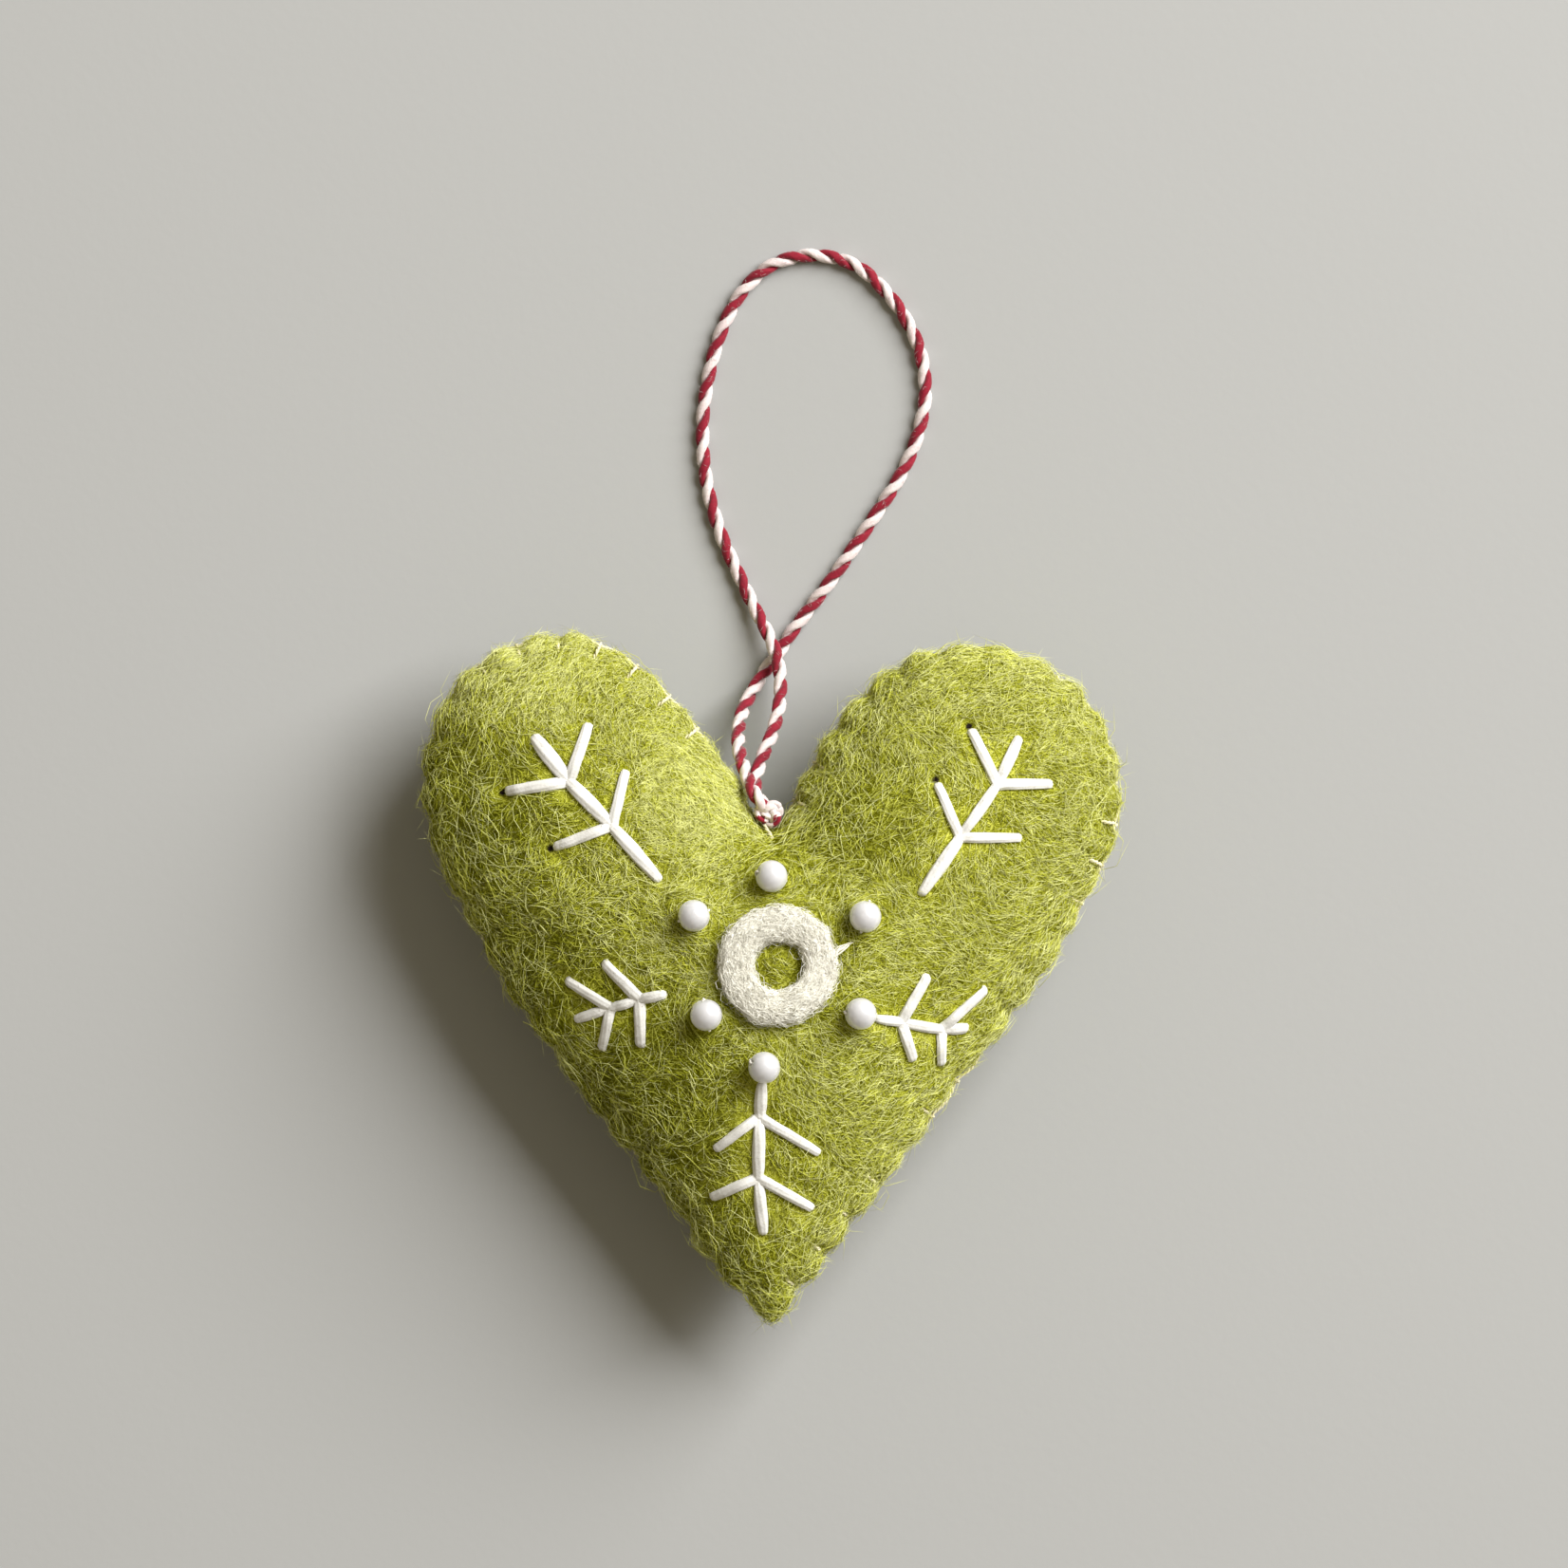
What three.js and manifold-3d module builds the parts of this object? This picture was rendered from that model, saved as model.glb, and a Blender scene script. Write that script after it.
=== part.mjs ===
// A stuffed felt heart ornament with a twisted twine loop, lying on its back. Millimetres, +Z up out of its
// front, +Y towards the loop. The origin is on the surface it lies on, under the middle of the heart.
import * as THREE from "three";
import { mergeVertices } from "three/addons/utils/BufferGeometryUtils.js";
import Module from "manifold-3d";

const wasm = await Module();
wasm.setup();

// Driving sizes of the felt
const HEART_WIDTH = 88.8;
const HEART_HEIGHT = 87.4; // from the tip to the top of the lobes
const FELT_THICKNESS = 1.5; // each of the two sheets, seen at the sewn edge
const FRONT_SWELL = 12.6; // the stuffed front above its own edge
const BACK_SWELL = 12.8; // the stuffed back below its own edge, before it is lain on
const LAIN_FLAT = 1.5; // how much of the back's swell the surface presses flat
const SWELL_POWER = 0.76; // 1 is a flat-sided mound, 0.5 is a balloon
const SLOPE_STEP = 0.2; // to each side of a place when its slope is worked out
const TOUCH_GAP = 0.3; // between pieces that touch

// The blanket stitch that joins the two sheets
const STITCHES_PER_SIDE = 27;
const POINTS_PER_STITCH = 3; // on the outline
const SCALLOP_DEPTH = 0.5; // how far a stitch pulls the edge in
const EDGE_GROOVE = 1.3; // how far the seam lies inside the edge of the felt
const THREAD_IN_GROOVE = 0.2; // how far the edge thread's middle lies inside the edge of the felt
const EDGE_THREAD = 0.7; // diameter
const STITCH_REACH = 1.9; // from the edge to where a stitch enters the felt, seen from above
const STITCH_SLACK = 0.2; // how much further than touching a stitch stands off the rounded felt

// The decoration on the front
const SPRIG_THREAD = 1.4; // diameter
const BEAD_DIAMETER = 4.0;
const RING_OUTER = 15.4;
const RING_HOLE = 6.2;
const RING_RISE = 1.9;

// The hanging loop
const TWINE_DIAMETER = 1.7;
const TWINE_STEPS = 50;
const KNOT_WIDTH = 3.5;
const KNOT_LENGTH = 3.4;
const KNOT_DEPTH = 3.2;
const KNOT_ASIDE = -0.3; // from the cleft's inner end
const KNOT_UP_CLEFT = 3.1; // from the cleft's inner end
const KNOT_ABOVE_EDGE = 1.0; // from the felt's edge to the underside of the knot
const KNOT_RIDGE = 0.08; // height of its turns, as a share of its half width

// The seam's height follows from the back, whose flat spot lies at z = 0.
const SEAM_Z = BACK_SWELL - LAIN_FLAT + FELT_THICKNESS + TOUCH_GAP / 2;

// Places on the heart are shares of its half width and half height: (-1, 0) is its left edge, (0, -1) its
// tip.
const CENTRE = [0.019, 0.041];
const CLEFT = [0, 0.407];
const TIP = [0.007, -1];
const LEFT_SIDE = [
  [-0.169, 0.709, -0.372, 1, -0.597, 1],
  [-0.833, 1, -1, 0.812, -1, 0.561],
  [-1, 0.183, -0.394, -0.549, ...TIP],
];
const RIGHT_SIDE = [
  [0.45, -0.412, 1, 0.183, 1, 0.538],
  [1, 0.789, 0.811, 0.97, 0.563, 0.97],
  [0.293, 0.97, 0.113, 0.686, ...CLEFT],
];

// Each sprig is a stem of stitches from its tip to its foot, with two barbs at each joint of the stem.
const SPRIGS = {
  sprig_upper_left: {
    stem: [[-0.684, 0.703], [-0.581, 0.568], [-0.457, 0.439], [-0.319, 0.28]],
    barbs: [
      [[-0.524, 0.739], [-0.768, 0.541]],
      [[-0.419, 0.604], [-0.63, 0.376]],
    ],
  },
  sprig_upper_right: {
    stem: [[0.711, 0.703], [0.646, 0.56], [0.538, 0.406], [0.424, 0.239]],
    barbs: [
      [[0.57, 0.722], [0.805, 0.563]],
      [[0.473, 0.566], [0.716, 0.406]],
    ],
  },
  sprig_left: {
    stem: [[-0.568, -0.124], [-0.459, -0.088], [-0.376, -0.063], [-0.3, -0.047]],
    barbs: [
      [[-0.589, -0.005], [-0.486, -0.214]],
      [[-0.481, 0.047], [-0.373, -0.203]],
    ],
  },
  sprig_right: {
    stem: [[0.565, -0.146], [0.484, -0.151], [0.368, -0.129], [0.311, -0.123]],
    barbs: [
      [[0.614, -0.03], [0.484, -0.258]],
      [[0.446, 0.008], [0.405, -0.244]],
    ],
  },
  sprig_bottom: {
    stem: [[-0.024, -0.752], [-0.038, -0.582], [-0.035, -0.404], [-0.029, -0.325]],
    barbs: [
      [[-0.176, -0.643], [0.119, -0.675]],
      [[-0.165, -0.502], [0.138, -0.513]],
    ],
  },
};

const BEADS = {
  bead_top: [0, 0.299],
  bead_upper_left: [-0.222, 0.181],
  bead_upper_right: [0.268, 0.178],
  bead_lower_left: [-0.189, -0.11],
  bead_lower_right: [0.257, -0.107],
  bead_bottom: [-0.022, -0.264],
};

// The twine leaves the knot, falls to the surface, lies round its loop, passes over itself and climbs back.
const TWINE_ROUTE = [
  [-1.9, 22.9, 18.0], [-2.5, 24.1, 17.1], [-3.1, 25.5, 15.4], [-3.7, 27.2, 13.4], [-4.2, 29.3, 10.8],
  [-4.2, 31.5, 7.9], [-3.8, 33.6, 5.2], [-2.9, 35.6, 3.1], [-1.7, 37.6, 1.7], [-0.5, 39.5, 1.05],
  [0.8, 41.3, 0.9], [2.9, 44.4, 0.88], [8.1, 51.3, 0.88], [13.3, 59.0, 0.88], [16.1, 63.4, 0.88],
  [18.3, 68.2, 0.88], [19.5, 74.0, 0.88], [18.9, 79.4, 0.88], [16.8, 84.1, 0.88], [14.1, 87.6, 0.88],
  [11.0, 90.3, 0.88], [7.4, 91.6, 0.88], [3.7, 91.7, 0.88], [-0.1, 90.5, 0.88], [-3.4, 87.6, 0.88],
  [-5.8, 83.6, 0.88], [-7.8, 77.5, 0.88], [-8.8, 70.0, 0.88], [-8.2, 62.5, 0.88], [-6.4, 56.2, 0.88],
  [-4.2, 51.2, 0.95], [-2.0, 46.6, 1.5], [-0.4, 43.5, 2.4], [0.6, 40.8, 3.2], [1.1, 37.8, 4.1],
  [0.9, 34.2, 5.8], [0.0, 30.9, 8.3], [-1.3, 28.2, 10.7], [-1.7, 25.6, 13.1], [-1.3, 23.1, 15.4],
];

const material = (color, roughness) => new THREE.MeshStandardMaterial({ color, roughness, metalness: 0 });
const GREEN_FELT = material(0x9b9c50, 0.95);
const CREAM_WOOL = material(0xe6dfcb, 0.95);
const CREAM_THREAD = material(0xe4ddae, 0.85);
const WHITE_THREAD = material(0xf4f3ee, 0.8);
const PEARL = material(0xf1eee8, 0.3);
const RED_WHITE_TWINE = material(0xc9808a, 0.85);

// A place given as shares of the heart, in millimetres.
function place([across, along]) {
  return new THREE.Vector2((across * HEART_WIDTH) / 2, (along * HEART_HEIGHT) / 2);
}

// Evenly spaced points along one side of the heart, without its last one.
function sidePoints(start, curves) {
  const side = new THREE.Path();
  side.moveTo(...place(start).toArray());
  for (const [ax, ay, bx, by, x, y] of curves)
    side.bezierCurveTo(...[[ax, ay], [bx, by], [x, y]].flatMap((share) => place(share).toArray()));
  return side.getSpacedPoints(STITCHES_PER_SIDE * POINTS_PER_STITCH).slice(0, -1);
}

// The heart's outline runs anticlockwise from the cleft, with a stitch at the first of every few points.
const outline = [...sidePoints(CLEFT, LEFT_SIDE), ...sidePoints(TIP, RIGHT_SIDE)];
const tipIndex = outline.length / 2;
const centre = place(CENTRE);

const neighbour = (points, i, step) => points[(i + step + points.length) % points.length];

// The unit direction into the heart at each outline point.
const inward = outline.map((_, i) => {
  const along = neighbour(outline, i, 1).clone().sub(neighbour(outline, i, -1)).normalize();
  return new THREE.Vector2(-along.y, along.x);
});

const moved = (i, distance) => outline[i].clone().addScaledVector(inward[i], distance);
const isStitch = (i) => i % POINTS_PER_STITCH === 0;
// How far the stitches pull the edge in: between them and at the sharp tip it stays where it was cut.
const pulledIn = outline.map((_, i) => (isStitch(i) && i !== tipIndex ? SCALLOP_DEPTH : 0));
const scalloped = pulledIn.map((pull, i) => moved(i, pull));
const seamOutline = pulledIn.map((pull, i) => moved(i, pull + EDGE_GROOVE));

// A smooth stand-in for the distance to the outline: twice the inverse of the mean value weight, which adds
// up 1 / distance over every direction. Each straight piece of the outline has an exact share of that sum.
const ON_LINE = 1e-9; // a place this near the line of a piece sees none of it
function insideDistance(x, y) {
  let weight = 0;
  for (let i = 0; i < outline.length; i++) {
    const from = outline[i];
    const to = neighbour(outline, i, 1);
    const length = from.distanceTo(to);
    const [ux, uy] = [(to.x - from.x) / length, (to.y - from.y) / length];
    const aside = ux * (y - from.y) - uy * (x - from.x);
    if (Math.abs(aside) < ON_LINE) continue;
    const sine = (end) => (ux * (end.x - x) + uy * (end.y - y)) / Math.hypot(end.x - x, end.y - y);
    weight += (sine(to) - sine(from)) / aside;
  }
  return 2 / weight;
}

const towardsCentre = (point, share) => point.clone().sub(centre).multiplyScalar(share).add(centre);
const SHOULDER_SHARE = 0.955;
const INNER_SHARES = [0.86, 0.72, 0.54, 0.36, 0.18];
const deepest = Math.max(
  ...INNER_SHARES.flatMap((share) =>
    outline.map((point) => towardsCentre(point, share)).map((at) => insideDistance(at.x, at.y)),
  ),
);

// How far the stuffing has pushed the felt out at a place: 0 at the edge, 1 where it is fullest.
const fullness = (x, y) => Math.min(1, Math.max(0, insideDistance(x, y) / deepest)) ** SWELL_POWER;
const EDGE_TOP = SEAM_Z + TOUCH_GAP / 2 + FELT_THICKNESS;
const frontHeight = (x, y) => EDGE_TOP + FRONT_SWELL * fullness(x, y);

// The front's outward direction at a place.
function frontNormal(x, y) {
  const rise = (dx, dy) => frontHeight(x + dx, y + dy) - frontHeight(x - dx, y - dy);
  return new THREE.Vector3(-rise(SLOPE_STEP, 0), -rise(0, SLOPE_STEP), 2 * SLOPE_STEP).normalize();
}

// The centre of something round that touches the front straight above or below (x, y).
function restingOn(x, y, radius) {
  const lift = (radius + TOUCH_GAP) / frontNormal(x, y).z;
  return new THREE.Vector3(x, y, frontHeight(x, y) + lift);
}

// A closed surface under construction, made of rings of points joined band by band.
class Skin {
  positions = [];
  faces = [];

  point(at) {
    this.positions.push(at.x, at.y, at.z);
    return this.positions.length / 3 - 1;
  }

  ring(points) {
    return points.map((at) => this.point(at));
  }

  // Joins a ring to the next one, whose points may be fewer by a whole number of times.
  band(outer, inner) {
    const times = outer.length / inner.length;
    inner.forEach((near, i) => {
      const next = neighbour(inner, i, 1);
      for (let j = 0; j < times; j++) {
        const from = outer[i * times + j];
        const to = neighbour(outer, i * times + j, 1);
        this.faces.push(from, to, j < times / 2 ? near : next);
      }
      this.faces.push(neighbour(outer, i * times, Math.ceil(times / 2)), next, near);
    });
  }

  fan(ring, at, turned = false) {
    const middle = this.point(at);
    ring.forEach((from, i) => {
      const to = neighbour(ring, i, 1);
      this.faces.push(...(turned ? [to, from, middle] : [from, to, middle]));
    });
  }

  geometry(insideOut = false) {
    const faces = insideOut ? this.faces.toReversed() : this.faces;
    return new THREE.BufferGeometry()
      .setAttribute("position", new THREE.Float32BufferAttribute(this.positions, 3))
      .setIndex(faces);
  }
}

// A geometry as a solid that can be joined and cut.
const SAME_POINT = 1e-4;
function solidOf(geometry) {
  const bare = new THREE.BufferGeometry().setAttribute("position", geometry.getAttribute("position"));
  const merged = mergeVertices(geometry.index ? bare.setIndex(geometry.index) : bare, SAME_POINT);
  return new wasm.Manifold(
    new wasm.Mesh({
      numProp: 3,
      vertProperties: merged.getAttribute("position").array,
      triVerts: new Uint32Array(merged.index.array),
    }),
  );
}

function geometryOf(solid) {
  const mesh = solid.getMesh();
  return new THREE.BufferGeometry()
    .setAttribute("position", new THREE.Float32BufferAttribute(mesh.vertProperties, 3))
    .setIndex([...mesh.triVerts]);
}

const joined = (solids) => solids.reduce((all, solid) => all.add(solid));

function polygon(sides, radius) {
  return new THREE.Shape(
    Array.from({ length: sides }, (_, i) => {
      const turn = (2 * Math.PI * (i + 0.5)) / sides;
      return new THREE.Vector2(radius * Math.cos(turn), radius * Math.sin(turn));
    }),
  );
}

// A thread of the given thickness through a few points.
function thread(points, diameter, sides, steps) {
  const sweep = { steps, bevelEnabled: false, extrudePath: new THREE.CatmullRomCurve3(points) };
  return new THREE.ExtrudeGeometry(polygon(sides, diameter / 2), sweep);
}

// One sheet of felt and the stuffing behind it. up is 1 for the front and -1 for the back.
function feltHalf(up, swell) {
  const skin = new Skin();
  const height = (above) => SEAM_Z + up * (TOUCH_GAP / 2 + above);
  const at = (point, above) => new THREE.Vector3(point.x, point.y, height(above));
  const swollen = (point) => at(point, FELT_THICKNESS + swell * fullness(point.x, point.y));

  const seam = skin.ring(seamOutline.map((point) => at(point, 0)));
  const edge = skin.ring(scalloped.map((point) => at(point, FELT_THICKNESS)));
  const shoulder = skin.ring(scalloped.map((point) => swollen(towardsCentre(point, SHOULDER_SHARE))));
  const rings = INNER_SHARES.map((share) =>
    skin.ring(outline.filter((_, i) => isStitch(i)).map((point) => swollen(towardsCentre(point, share)))),
  );
  const bands = [seam, edge, shoulder, ...rings];
  bands.slice(1).forEach((inner, i) => skin.band(bands[i], inner));
  skin.fan(rings.at(-1), swollen(centre));
  skin.fan(seam, at(centre, 0), true);
  return solidOf(skin.geometry(up < 0));
}

// The surface presses the lowest part of the back flat.
function pressedFlat(solid) {
  const above = new THREE.BoxGeometry(2 * HEART_WIDTH, 2 * HEART_HEIGHT, 2 * SEAM_Z);
  return solid.intersect(solidOf(above.translate(0, 0, SEAM_Z)));
}

const circle = (count) => Array.from({ length: count }, (_, i) => (2 * Math.PI * i) / count);
// The edge thread is fine enough for a three-cornered section.
const THREE_CORNERS = circle(3);

// The thread that runs round the edge in the groove between the sheets.
function edgeRun() {
  const skin = new Skin();
  const radius = EDGE_THREAD / 2;
  const inGroove = outline.map((_, i) => i).filter((i) => i % POINTS_PER_STITCH !== 2);
  const rings = THREE_CORNERS.map((turn) =>
    skin.ring(
      inGroove.map((i) => {
        const point = moved(i, pulledIn[i] + THREAD_IN_GROOVE - radius * Math.cos(turn));
        return new THREE.Vector3(point.x, point.y, SEAM_Z + radius * Math.sin(turn));
      }),
    ),
  );
  rings.forEach((ring, i) => skin.band(ring, neighbour(rings, i, 1)));
  return solidOf(skin.geometry());
}

// One stitch: from the front of the felt, round the edge and over the edge thread, to the back.
function stitch(i) {
  const radius = EDGE_THREAD / 2;
  const clear = radius + TOUCH_GAP + STITCH_SLACK;
  const entry = moved(i, pulledIn[i] + STITCH_REACH);
  const onFelt = new THREE.Vector3(entry.x, entry.y, frontHeight(entry.x, entry.y));
  const front = onFelt.addScaledVector(frontNormal(entry.x, entry.y), clear);
  const rim = moved(i, pulledIn[i] - clear);
  const rimRise = FELT_THICKNESS + clear;
  const onThread = moved(i, pulledIn[i] + THREAD_IN_GROOVE - radius);
  const backDrop = (front.z - EDGE_TOP) * (BACK_SWELL / FRONT_SWELL) + EDGE_TOP - SEAM_Z;
  const points = [
    [front, front.z],
    [rim, SEAM_Z + rimRise],
    [onThread, SEAM_Z],
    [rim, SEAM_Z - rimRise],
    [front, SEAM_Z - backDrop],
  ].map(([at, z]) => new THREE.Vector3(at.x, at.y, z));

  const skin = new Skin();
  const along = new THREE.Vector3(-inward[i].y, inward[i].x, 0);
  const rings = points.map((point, k) => {
    const before = points[Math.max(k - 1, 0)];
    const after = points[Math.min(k + 1, points.length - 1)];
    const across = along.clone().cross(after.clone().sub(before).normalize());
    return skin.ring(
      THREE_CORNERS.map((turn) =>
        point
          .clone()
          .addScaledVector(across, radius * Math.cos(turn))
          .addScaledVector(along, radius * Math.sin(turn)),
      ),
    );
  });
  rings.slice(1).forEach((ring, k) => skin.band(rings[k], ring));
  skin.faces.push(...rings[0].toReversed(), ...rings.at(-1));
  return solidOf(skin.geometry());
}

// There is no stitch in the cleft, where the twine goes into the seam, nor on the tip.
function edgeStitch() {
  const places = outline.map((_, i) => i).filter((i) => isStitch(i) && i % tipIndex !== 0);
  const stitches = places.map(stitch);
  return joined([edgeRun(), ...stitches]);
}

// A sprig's threads lie on the felt and cross at its joints.
function sprig({ stem, barbs }) {
  const lying = (share) => {
    const at = place(share);
    return restingOn(at.x, at.y, SPRIG_THREAD / 2);
  };
  const between = (a, b) => [(a[0] + b[0]) / 2, (a[1] + b[1]) / 2];
  const strand = (a, b) => solidOf(thread([a, between(a, b), b].map(lying), SPRIG_THREAD, 5, 3));
  const stemStrand = solidOf(thread(stem.map(lying), SPRIG_THREAD, 5, 6));
  return joined([
    stemStrand,
    ...barbs.flatMap((pair, i) => pair.map((end) => strand(end, stem[i + 1]))),
  ]);
}

// A round mat of cream wool felted onto the middle, open at its centre and following the front.
function centreRing() {
  const skin = new Skin();
  const middle = (RING_OUTER + RING_HOLE) / 4;
  const halfWidth = (RING_OUTER - RING_HOLE) / 4;
  const rings = circle(8).map((tilt) =>
    skin.ring(
      circle(24).map((turn) => {
        const radius = middle + halfWidth * Math.cos(tilt);
        const x = centre.x + radius * Math.cos(turn);
        const y = centre.y + radius * Math.sin(turn);
        const lift = TOUCH_GAP + (RING_RISE / 2) * (1 + Math.sin(tilt));
        return new THREE.Vector3(x, y, frontHeight(x, y) + lift);
      }),
    ),
  );
  rings.forEach((ring, i) => skin.band(ring, neighbour(rings, i, 1)));
  return skin.geometry();
}

function bead(share) {
  const at = place(share);
  const middle = restingOn(at.x, at.y, BEAD_DIAMETER / 2);
  return new THREE.IcosahedronGeometry(BEAD_DIAMETER / 2, 1).translate(middle.x, middle.y, middle.z);
}

// The twine's two ends tied together, a lump with the turns of the knot showing as ridges.
function knot() {
  const lump = new THREE.SphereGeometry(0.5, 12, 8);
  const position = lump.getAttribute("position");
  for (let i = 0; i < position.count; i++) {
    const at = new THREE.Vector3().fromBufferAttribute(position, i);
    const twist = 2 * Math.atan2(at.z, at.x) + 9 * at.y;
    const ridge = 1 - KNOT_RIDGE * (1 - Math.abs(2 * at.y)) * Math.cos(twist);
    position.setXYZ(i, at.x * ridge, at.y, at.z * ridge);
  }
  const cleft = place(CLEFT);
  const height = EDGE_TOP + KNOT_ABOVE_EDGE + KNOT_DEPTH / 2;
  lump.scale(KNOT_WIDTH, KNOT_LENGTH, KNOT_DEPTH);
  return lump.translate(cleft.x + KNOT_ASIDE, cleft.y + KNOT_UP_CLEFT, height);
}

function twine() {
  const route = TWINE_ROUTE.map((at) => new THREE.Vector3(...at));
  return thread(route, TWINE_DIAMETER, 8, TWINE_STEPS);
}

const heart = new THREE.Group();

function add(name, geometry, look) {
  const mesh = new THREE.Mesh(geometry, look);
  mesh.name = name;
  heart.add(mesh);
}

add("front_felt", geometryOf(feltHalf(1, FRONT_SWELL)), GREEN_FELT);
add("back_felt", geometryOf(pressedFlat(feltHalf(-1, BACK_SWELL))), GREEN_FELT);
add("edge_stitch", geometryOf(edgeStitch()), CREAM_THREAD);
add("centre_ring", centreRing(), CREAM_WOOL);
for (const [name, share] of Object.entries(BEADS)) add(name, bead(share), PEARL);
for (const [name, threads] of Object.entries(SPRIGS)) add(name, geometryOf(sprig(threads)), WHITE_THREAD);
add("twine_knot", knot(), RED_WHITE_TWINE);
add("twine_loop", twine(), RED_WHITE_TWINE);

export default heart;
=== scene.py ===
"""A stuffed felt heart with a twine loop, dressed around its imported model. Metres, +Z out of the front."""

import logging
import math
from dataclasses import dataclass, field
from enum import Enum
from typing import Any, Callable, Iterable, Sequence

import bmesh
import bpy
import numpy as np
from mathutils import Matrix, Vector, noise
from mathutils.bvhtree import BVHTree


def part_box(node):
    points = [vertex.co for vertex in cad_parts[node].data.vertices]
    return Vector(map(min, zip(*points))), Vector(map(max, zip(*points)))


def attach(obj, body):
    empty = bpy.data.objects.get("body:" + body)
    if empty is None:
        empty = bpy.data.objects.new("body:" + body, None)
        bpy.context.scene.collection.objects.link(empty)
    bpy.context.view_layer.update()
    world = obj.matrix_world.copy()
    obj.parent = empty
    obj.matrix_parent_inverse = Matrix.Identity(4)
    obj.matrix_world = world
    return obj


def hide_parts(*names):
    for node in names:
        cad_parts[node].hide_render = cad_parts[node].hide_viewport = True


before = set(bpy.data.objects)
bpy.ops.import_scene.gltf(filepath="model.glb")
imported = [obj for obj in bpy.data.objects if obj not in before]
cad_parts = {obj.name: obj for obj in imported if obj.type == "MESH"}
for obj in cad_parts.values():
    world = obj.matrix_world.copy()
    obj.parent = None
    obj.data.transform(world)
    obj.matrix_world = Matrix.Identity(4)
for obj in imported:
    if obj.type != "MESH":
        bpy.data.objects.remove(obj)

log = logging.getLogger("heart")

MM = 0.001
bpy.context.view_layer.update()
VIEW_CENTRE = (1.56 * MM, 24.6 * MM)

CLOTH_SETTINGS: dict[str, Any] = {
    "quality": 4,
    "mass": 0.05,
    "tension_stiffness": 8,
    "compression_stiffness": 8,
    "shear_stiffness": 4,
    "bending_stiffness": 0.2,
    "vertex_group_mass": "sewn",
    "use_pressure": True,
    "uniform_pressure_force": 4.0,
}
LINT: dict[str, Any] = {
    "length": (0.5 * MM, 1.3 * MM),
    "radius": (0.012 * MM, 0.02 * MM),
    "lift": (0.04 * MM, 0.14 * MM),
    "free": 0.6,
    "free_lift": (0.1 * MM, 0.3 * MM),
    "root_depth": 0.05 * MM,
    "flow": 0.0,
}
HAIR: dict[str, Any] = {
    "length": (4.0 * MM, 8.5 * MM),
    "radius": (0.024 * MM, 0.042 * MM),
    "lift": (0.1 * MM, 0.35 * MM),
    "free": 0.15,
    "free_lift": (0.3 * MM, 0.7 * MM),
    "curl": 0.2,
    "spread": 0.7,
    "rings": 2,
}
FUZZ: dict[str, Any] = {
    "length": (0.9 * MM, 2.4 * MM),
    "radius": (0.02 * MM, 0.032 * MM),
    "lift": (0.3 * MM, 0.7 * MM),
    "free": 0.7,
    "free_lift": (0.4 * MM, 0.9 * MM),
    "curl": 0.25,
    "flow": 0.0,
    "rings": 2,
}
RING: dict[str, Any] = {
    "length": (1.2 * MM, 3.6 * MM),
    "radius": (0.025 * MM, 0.045 * MM),
    "lift": (0.05 * MM, 0.22 * MM),
    "free": 0.3,
    "free_lift": (0.2 * MM, 0.7 * MM),
    "curl": 0.2,
    "flow": 0.65,
    "spread": 0.6,
    "rings": 2,
}

Colour = tuple[float, float, float]
Share = tuple[float, float]


def srgb(red: int, green: int, blue: int) -> Colour:
    """Gives a colour in linear light.

    Args:
        red: Red as it shows on a screen, 0 to 255.
        green: Green, likewise.
        blue: Blue, likewise.

    Returns:
        The three linear values.
    """
    return tuple((level / 255) ** 2.2 for level in (red, green, blue))


class Slot(Enum):
    """The record's material slots."""

    FELT = "green_felt"
    WOOL = "cream_wool"
    EDGE_THREAD = "cream_thread"
    THREAD = "white_thread"
    PEARL = "pearl"
    TWINE = "red_white_twine"


class Field:
    """A value in a material's nodes, written with ordinary arithmetic."""

    def __init__(self, paint: "Paint", socket: bpy.types.NodeSocket) -> None:
        """Wraps one output socket of a material."""
        self.paint = paint
        self.socket = socket

    def maths(self, operation: str, *values: Any) -> "Field":
        """Gives the result of a Math node on the values."""
        return self.paint.field("ShaderNodeMath", "Value", {"operation": operation}, *values)

    def __add__(self, other: Any) -> "Field":
        """Adds a number or a field."""
        return self.maths("ADD", self, other)

    __radd__ = __add__

    def __mul__(self, other: Any) -> "Field":
        """Multiplies by a number or a field."""
        return self.maths("MULTIPLY", self, other)

    __rmul__ = __mul__

    def __sub__(self, other: Any) -> "Field":
        """Takes a number or a field away."""
        return self.maths("SUBTRACT", self, other)


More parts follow.
